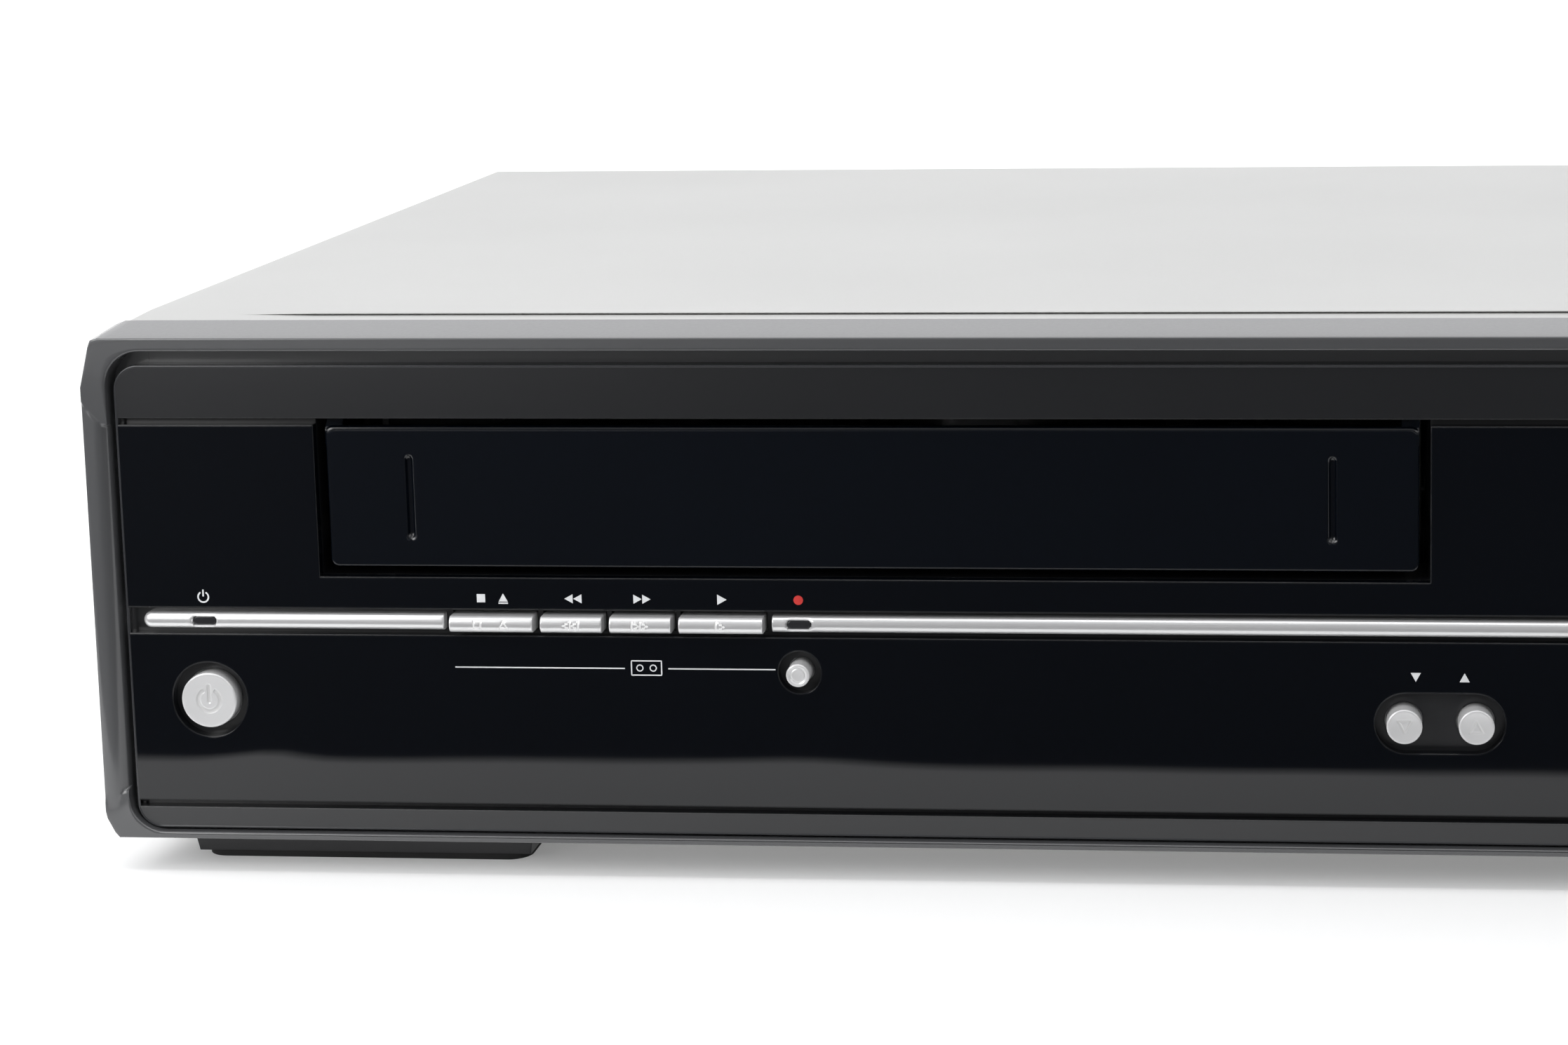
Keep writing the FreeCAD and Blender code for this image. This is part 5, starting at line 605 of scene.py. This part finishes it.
def turned_mesh(name, x, z, profile, carve=None, around=96):
    """A turned piece whose axis runs front to back through X, Z. The profile is pairs of radius and Y, from the
    middle of its face outwards and back; each pair becomes a ring, and carve adds the depth of what is cut in."""
    profile = np.asarray(profile, float)
    angle = np.linspace(0, 2 * math.pi, around, endpoint=False)
    across = x + profile[:, :1] * np.cos(angle)
    up = z + profile[:, :1] * np.sin(angle)
    y = np.broadcast_to(profile[:, 1:], across.shape)
    if carve:
        y = y + carve(across, up)
    return grid_mesh(name, np.stack([across, y, up], axis=-1), close_around=True, cap=True, smooth=50)


def cap_profile(radius, front, back, edge, dish, rings):
    """A cap's face is a shallow dish, deepest in the middle, inside a rounded rim; its wall goes straight back."""
    flat = np.linspace(0, radius - edge, rings)
    angle = np.linspace(0, math.pi / 2, 6)
    face_part = np.stack([flat, front + dish * (1 - (flat / (radius - edge)) ** 2)], axis=-1)
    rim = np.stack([radius - edge + edge * np.sin(angle), front + edge - edge * np.cos(angle)], axis=-1)
    return np.concatenate([face_part, rim[1:], [[radius, back]]])


def standby_sign(x, z):
    """A ring with a gap at its top and an upright bar in the gap."""
    def carve(across, up):
        far = np.hypot(across - x, up - z)
        angle = np.abs(np.arctan2(across - x, up - z))
        ring = np.where(angle > 0.5, np.abs(far - 2.0), 9)
        bar = np.hypot(across - x, np.maximum(np.abs(up - z - 1.2) - 1.4, 0))
        return 0.14 * np.clip(2.0 - np.minimum(ring, bar) / 0.2, 0, 1)
    return carve


def ring_groove(x, z):
    """A ring cut 0.15 mm deep and 0.3 mm wide, 1.3 mm from the middle."""
    return lambda across, up: 0.15 * np.clip(1.4 - np.abs(np.hypot(across - x, up - z) - 1.3) / 0.15, 0, 1)


button_face, nodes, links, shader = new_material("button_face", 0.25, Metallic=0.3)
surface_noise(button_face, nodes, links, shader, (0.66, 0.66, 0.665), 0.01, 60, 4200, 0.0000003, gloss=0.02)
button_sign, nodes, links, shader = new_material("button_sign", 0.5)
surface_noise(button_sign, nodes, links, shader, (0.47, 0.47, 0.47), 0.03, 60, 2600, 0.000001)
for name, sign in (("power_button", "standby"), ("record_button", None), ("disc_record_button", None),
                   ("program_down_button", 3), ("program_up_button", 1)):
    low, high = (np.array(corner) * 1000 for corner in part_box(name))
    radius = {"power_button": 5.05, "record_button": 2.1, "disc_record_button": 2.1}.get(name, 3.1)
    x, z, front = (low[0] + high[0]) / 2, (low[2] + high[2]) / 2, low[1]
    carve = standby_sign(x, z) if sign == "standby" else ring_groove(x, z)
    if sign in (1, 3):
        carve = engraving([triangle(x, z, 2.0, sign)], 0.16)
    mesh = turned_mesh(name + "_cap", x, z, cap_profile(radius, front, high[1] - 3.4, 0.35, 0.18, int(radius / 0.13)),
                       carve, 160)
    if sign:
        ink(mesh, carve)
    flange = turned_mesh(name + "_flange", x, z, [(0, high[1] - 3.4), (radius + 0.8, high[1] - 3.4),
                                                  (radius + 0.8, high[1] - 2.6), (2, high[1] - 2.4), (2, high[1])])
    piece = new_piece(name + "_turned", [mesh, flange], button_face)
    piece.data.materials.append(button_sign)
    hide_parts(name)
    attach(piece, name)


# Cassette flap
# Glossy black plastic like the plates, 2 mm thick with rounded edges and an upright groove near each end. It hangs
# on two pins behind the top band, in lugs moulded at its upper corners, and a spring shuts it.
flap_plastic, nodes, links, shader = new_material("flap_plastic", 0.05, IOR=1.6)
surface_noise(flap_plastic, nodes, links, shader, (0.0012, 0.0021, 0.004), 0.05, 15, 40, 0.000003, 0.0003, 0.02)
flap_low, flap_high = (np.array(corner) * 1000 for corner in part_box("cassette_flap"))
mouth_left, mouth_right = -175.9 + 1.9, 20.4 - 1.9


def flap_grooves(x, z):
    """Two grooves 1.4 mm wide and 15 mm high with round ends, cut 0.7 mm deep with sloping sides."""
    deep = np.zeros_like(x)
    for middle in (mouth_left + 14.9, mouth_right - 14.9):
        far = np.hypot(x - middle, np.maximum(np.abs(z - 69.4) - 6.8, 0))
        deep = np.maximum(deep, 0.7 * np.clip((0.72 - far) / 0.3, 0, 1))
    return deep


flap_mesh = bar_mesh("flap_plate", (mouth_left, mouth_right), (56.7, 82.1), face + 2.3, face + 4.3, 1.3, 0.5, 0.35,
                     flap_grooves)
pin = np.linspace(0, 2 * math.pi, 24, endpoint=False)
lugs = []
for low_x, high_x, pin_low, pin_high in ((mouth_left, mouth_left + 3, mouth_left - 3.6, mouth_left + 1),
                                         (mouth_right - 3, mouth_right, mouth_right - 1, mouth_right + 3.6)):
    for start, stop, radius in ((low_x, high_x, 1.8), (pin_low, pin_high, 1.2)):
        ring = np.stack([np.zeros_like(pin), -131.2 + radius * np.cos(pin), 85.4 + radius * np.sin(pin)], axis=-1)
        lugs.append(grid_mesh("lug_round", np.stack([ring + (start, 0, 0), ring + (stop, 0, 0)]), close_around=True, cap=True))
    arm = np.array([(face + 2.5, 79), (face + 4.3, 77), (-129.7, 85.4), (-132.9, 85.4), (-133.1, 83.4), (face + 2.5, 81.4)])
    lugs.append(grid_mesh("lug_arm", np.stack([np.insert(arm, 0, low_x, axis=1), np.insert(arm, 0, high_x, axis=1)]),
                          close_around=True, cap=True, smooth=20))
flap = new_piece("flap_with_lugs", [flap_mesh] + lugs, flap_plastic)
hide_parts("cassette_flap")
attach(flap, "flap")


# Drawer front
# Glossy black plastic front of the disc drawer with rounded edges, clipped to the drawer plate behind it.
door_plastic, nodes, links, shader = new_material("door_plastic", 0.06, IOR=1.6)
surface_noise(door_plastic, nodes, links, shader, (0.0012, 0.0021, 0.004), 0.05, 15, 40, 0.000003, 0.0003, 0.02)
low, high = (np.array(corner) * 1000 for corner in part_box("tray_front"))


def finger_bevel(x, z):
    """The lower edge slopes back 1.1 mm over its lowest 2.2 mm, for a fingertip."""
    return 1.1 * np.clip((low[2] + 2.2 - z) / 2.2, 0, 1)


drawer_front = new_piece("drawer_front", bar_mesh("drawer_plate", (low[0], high[0]), (low[2], high[2]), low[1], high[1],
                                                  0.8, 0.5, 0.6, finger_bevel), door_plastic)
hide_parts("tray_front")
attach(drawer_front, "drawer")
black_plastic, nodes, links, shader = new_material("black_plastic", 0.42)
surface_noise(black_plastic, nodes, links, shader, (0.016, 0.016, 0.017), 0.08, 40, 1600, 0.00002, 0.0003)
dress(black_plastic, "disc_tray")


# Printed signs
# Small white signs are printed on the glossy plates over the keys, a red dot over each recording button, and a thin
# line with a cassette sign in its gap runs under the cassette keys. The print is 0.03 mm thick.
plate_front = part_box("gloss_upper")[0].y * 1000


def ribbon_mesh(name, points, width, front, closed=True):
    """A flat line: at each point of the path its two edges lie half the width to both sides, along the normal of
    the path, and it is 0.05 mm thick from the front backwards."""
    points = np.asarray(points, float)
    if closed:
        run = np.roll(points, -1, axis=0) - np.roll(points, 1, axis=0)
    else:
        run = np.gradient(points, axis=0)
    side = np.stack([-run[:, 1], run[:, 0]], axis=-1) / np.linalg.norm(run, axis=1)[:, None] * width / 2
    rows = []
    for sign, y in ((1, front), (-1, front), (-1, front + 0.05), (1, front + 0.05), (1, front)):
        edge = points + sign * side
        rows.append(np.stack([edge[:, 0], np.full(len(edge), y), edge[:, 1]], axis=-1))
    return grid_mesh(name, rows, close_around=closed, smooth=20, cap=not closed)


def blot_mesh(name, corners, front):
    """A filled shape: its outline at the front and again 0.05 mm behind, both closed."""
    corners = np.asarray(corners, float)
    rows = [np.insert(corners, 1, front + back, axis=1) for back in (0, 0.05)]
    return grid_mesh(name, rows, close_around=True, smooth=20, cap=True)


def circle(x, z, radius, start=0.0, stop=2 * math.pi, count=40):
    """Points on a circle, or on the part of it between two angles."""
    angle = np.linspace(start, stop, count, endpoint=stop - start < 6.28)
    return np.stack([x + radius * np.cos(angle), z + radius * np.sin(angle)], axis=-1)


white_print, nodes, links, shader = new_material("white_print", 0.5)
surface_noise(white_print, nodes, links, shader, (0.62, 0.63, 0.64), 0.04, 900, 2600, 0.000001)
red_print, nodes, links, shader = new_material("red_print", 0.5)
surface_noise(red_print, nodes, links, shader, (0.5, 0.02, 0.015), 0.05, 900, 2600, 0.000001)
print_y = plate_front - 0.03
sign_z = 51.3
marks = [ribbon_mesh("standby_ring", circle(-half + 20, sign_z - 0.1, 0.95, 2.1, 7.33, 30), 0.28, print_y, False),
         ribbon_mesh("standby_bar", [(-half + 20, sign_z), (-half + 20, sign_z + 1.25)], 0.28, print_y, False)]
for mirror in (1, -1):
    middles = [mirror * (-half + at) for at in (72.7, 87.3, 99.7, 114)]
    if mirror == 1:
        marks += [blot_mesh("stop_sign", square(middles[0] - 2, sign_z, 1.5), print_y),
                  blot_mesh("eject_sign", triangle(middles[0] + 2, sign_z + 0.15, 1.5, 1), print_y),
                  blot_mesh("eject_bar", [(middles[0] + 1.15, sign_z - 1.0), (middles[0] + 2.85, sign_z - 1.0),
                                          (middles[0] + 2.85, sign_z - 0.75), (middles[0] + 1.15, sign_z - 0.75)], print_y)]
        marks += [blot_mesh("rewind_sign", triangle(middles[1] + step, sign_z, 1.5, 2), print_y) for step in (-0.8, 0.8)]
        marks += [blot_mesh("forward_sign", triangle(middles[2] + step, sign_z, 1.5, 0), print_y) for step in (-0.8, 0.8)]
    else:
        marks += [blot_mesh("open_sign", triangle(middles[0], sign_z + 0.15, 1.6, 1), print_y),
                  blot_mesh("stop_sign", square(middles[1], sign_z, 1.5), print_y),
                  blot_mesh("skip_sign", triangle(middles[2] - 0.3, sign_z, 1.5, 0), print_y)]
    marks.append(blot_mesh("play_sign", triangle(middles[3], sign_z, 1.7, 0), print_y))
for low, high in ((65.5, 96.2), (104.0, 123.2)):
    marks.append(ribbon_mesh("key_line", [(-half + low, 38.7), (-half + high, 38.7)], 0.22, print_y, False))
tape = np.array([(97.4, 37.5), (102.8, 37.5), (102.8, 40.1), (97.4, 40.1)]) - (half, 0)
marks.append(ribbon_mesh("tape_sign", along(np.concatenate([tape, tape[:1]]), np.linspace(0, 1, 61)[:-1]), 0.22, print_y))
marks += [ribbon_mesh("tape_reel", circle(-half + at, 38.8, 0.55), 0.2, print_y) for at in (98.9, 101.3)]
marks += [blot_mesh("program_sign", triangle(-half + at, 38.3, 1.6, turn), print_y) for at, turn in ((235.4, 3), (243.8, 1))]
signs = new_piece("printed_signs", marks, white_print)
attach(signs, "case")
dots = new_piece("recording_dots", [blot_mesh("dot", circle(sign * (-half + 127.6), sign_z, 0.85), print_y)
                                    for sign in (1, -1)], red_print)
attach(dots, "case")


# Display
# A smoked window under the drawer, flush with the plate, with a fluorescent tube behind it that shows a clock.
smoked_window, nodes, links, shader = new_material("smoked_window", 0.04, IOR=1.49)
surface_noise(smoked_window, nodes, links, shader, (0.003, 0.0035, 0.004), 0.05, 15, 40, 0.000002, 0.0002, 0.015)
dress(smoked_window, "display_window")
display_glass, nodes, links, shader = new_material("display_glass", 0.1, IOR=1.5)
surface_noise(display_glass, nodes, links, shader, (0.02, 0.026, 0.025), 0.1, 200, 900, 0.000003, 0.0001)
dress(display_glass, "display_tube")
lit_segment, nodes, links, shader = new_material("lit_segment", 0.4, Emission_Color=(0.35, 0.9, 0.85, 1), Emission_Strength=0.9)
surface_noise(lit_segment, nodes, links, shader, (0.2, 0.5, 0.48), 0.1, 2000, 2600, 0.000001)
low, high = (np.array(corner) * 1000 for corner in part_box("display_window"))
segments = {"0": "abcdef", "1": "bc", "2": "abdeg"}
strokes = {"a": (0, 2, 1, 2), "b": (1, 1, 1, 2), "c": (1, 0, 1, 1), "d": (0, 0, 1, 0), "e": (0, 0, 0, 1),
           "f": (0, 1, 0, 2), "g": (0, 1, 1, 1)}
lit = []
middle_x, foot_z, tall = (low[0] + high[0]) / 2, (low[2] + high[2]) / 2 - 2.4, 2.4
for step, digit in ((-11.5, "1"), (-6, "2"), (2, "0"), (7.5, "0")):
    for part in segments[digit]:
        x1, z1, x2, z2 = strokes[part]
        start = np.array([middle_x + step + x1 * 3.2, foot_z + z1 * tall])
        stop = np.array([middle_x + step + x2 * 3.2, foot_z + z2 * tall])
        gap = (stop - start) / np.linalg.norm(stop - start) * 0.25
        lit.append(ribbon_mesh("segment", [start + gap, stop - gap], 0.5, low[1] - 0.04, False))
for rise in (1.3, 3.5):
    lit.append(blot_mesh("colon", circle(middle_x + 0.1, foot_z + rise, 0.35, count=16), low[1] - 0.04))
digits = new_piece("clock_digits", lit, lit_segment)
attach(digits, "case")


# Front jacks
# A black block on the front board holds four sockets behind a cut-out of the lower plate. Coloured rings tell them
# apart: yellow for the picture, white and red for the sound, and a black one beside them.
dress(black_plastic, "front_jacks")
jack_colours = {}
for name, colour in (("yellow", (0.75, 0.5, 0.02)), ("white", (0.7, 0.7, 0.68)), ("red", (0.5, 0.02, 0.015)),
                     ("black", (0.02, 0.02, 0.02))):
    jack_colours[name], nodes, links, shader = new_material("jack_" + name, 0.35)
    surface_noise(jack_colours[name], nodes, links, shader, colour, 0.04, 200, 1600, 0.00001)
bright_steel, nodes, links, shader = new_material("bright_steel", 0.2, Metallic=1.0)
surface_noise(bright_steel, nodes, links, shader, (0.6, 0.6, 0.59), 0.05, 60, 900, 0.000004, 0.00015)
low, high = (np.array(corner) * 1000 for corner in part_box("front_jacks"))
for step, name in ((9, "yellow"), (25, "white"), (41, "red"), (57, "black")):
    x, z = 155.5 - 33 + step, 28.0
    ring = turned_mesh("jack_ring_" + name, x, z, [(1.7, low[1] - 0.05), (1.75, low[1] - 0.25), (4.0, low[1] - 0.25),
                                                   (4.2, low[1] - 0.05), (4.2, low[1] + 1.2), (1.7, low[1] + 1.2)], around=64)
    collar = new_piece("front_ring_" + name, ring, jack_colours[name])
    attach(collar, "case")


# Front board
# Green fibre board behind the panel with a row of small key switches.
circuit_board, nodes, links, shader = new_material("circuit_board", 0.35)
surface_noise(circuit_board, nodes, links, shader, (0.02, 0.1, 0.04), 0.25, 120, 700, 0.00002, 0.0002)
dress(circuit_board, "front_board", "main_board", "power_board")


# Feet
# Dark moulded feet, wide and low, with rubber pads. The front feet have toes that reach under the front frame.
foot_plastic, nodes, links, shader = new_material("foot_plastic", 0.4)
surface_noise(foot_plastic, nodes, links, shader, (0.03, 0.03, 0.032), 0.05, 40, 1500, 0.00002, 0.0006)
dress(foot_plastic, "feet")
pad_rubber, nodes, links, shader = new_material("pad_rubber", 0.85)
surface_noise(pad_rubber, nodes, links, shader, (0.02, 0.02, 0.02), 0.1, 90, 700, 0.00005, 0.0003)
dress(pad_rubber, "foot_pads", "pinch_roller")


# Pan, rear panel, screws and bare sheet
# Zinc-plated sheet steel, folded and pierced, with the faint spangle of its plating.
zinc_steel, nodes, links, shader = new_material("zinc_steel", 0.38, Metallic=1.0)
surface_noise(zinc_steel, nodes, links, shader, (0.4, 0.4, 0.39), 0.03, 260, 900, 0.000006, 0.0002, 0.04)
dress(zinc_steel, "chassis", "rear_panel", "cover_screws", "deck_plate", "carriage_frame", "carriage_trolley",
      "cassette_carriage", "traverse", "clamp_bridge", "tuner", "pinch_arm")


# Rear sockets, inlet and fan
# Black mouldings in the rear panel: two wide picture sockets, nine round sockets with plated sleeves in coloured
# rings, the mains inlet, and a fan behind slots.


def turned_rear(name, x, z, profile):
    """A turned ring around an axis through X, Z. Its profile is closed and goes over pairs of radius and distance
    behind the rear panel."""
    spin = np.linspace(0, 2 * math.pi, 49)[:-1]
    rows = [np.stack([x + radius * np.cos(spin), np.full(48, rear_face + behind), z + radius * np.sin(spin)], axis=-1)
            for radius, behind in profile]
    return grid_mesh(name, rows, close_around=True, smooth=30)


dress(black_plastic, "rear_sockets", "mains_inlet", "fan_frame", "fan_rotor", "drive_frame", "supply_reel",
      "takeup_reel", "spindle", "pickup")
rear_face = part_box("rear_panel")[1].y * 1000
sleeves = []
for column in range(3):
    for row, name in enumerate(("red", "white", "yellow")):
        x, z = -half + 172 + column * 14, 8.6 + 20 + row * 14
        ring = turned_rear("ring", x, z, [(4.4, 0.1), (5.7, 0.1), (5.7, 0.9), (5.2, 1.5), (4.4, 1.5), (4.4, 0.1)])
        collar = new_piece(f"rear_ring_{column}_{name}", ring, jack_colours[name])
        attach(collar, "case")
        sleeves.append(turned_rear("sleeve", x, z, [(4.16, 0.2), (4.28, 0.2), (4.28, 6.7), (4.0, 7.05), (3.6, 7.05),
                                                    (3.45, 6.95), (3.6, 6.9), (4.16, 6.9), (4.16, 0.2)]))
barrels = new_piece("rear_sleeves", sleeves, bright_steel)
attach(barrels, "case")


# Cassette deck
# Turned aluminium drum, ground steel capstan and guides, and black reel tables.
drum_aluminium, nodes, links, shader = new_material("drum_aluminium", 0.24, Metallic=1.0)
surface_noise(drum_aluminium, nodes, links, shader, (0.68, 0.68, 0.69), 0.03, 60, 1800, 0.000002, 0.0002)
dress(drum_aluminium, "drum_base", "drum_upper")
dress(bright_steel, "capstan", "tape_guides", "loading_motor")
white_plastic, nodes, links, shader = new_material("white_plastic", 0.4)
surface_noise(white_plastic, nodes, links, shader, (0.66, 0.65, 0.61), 0.04, 40, 1500, 0.00002, 0.0002)
dress(white_plastic, "drawer_pinion", "clamp_puck")
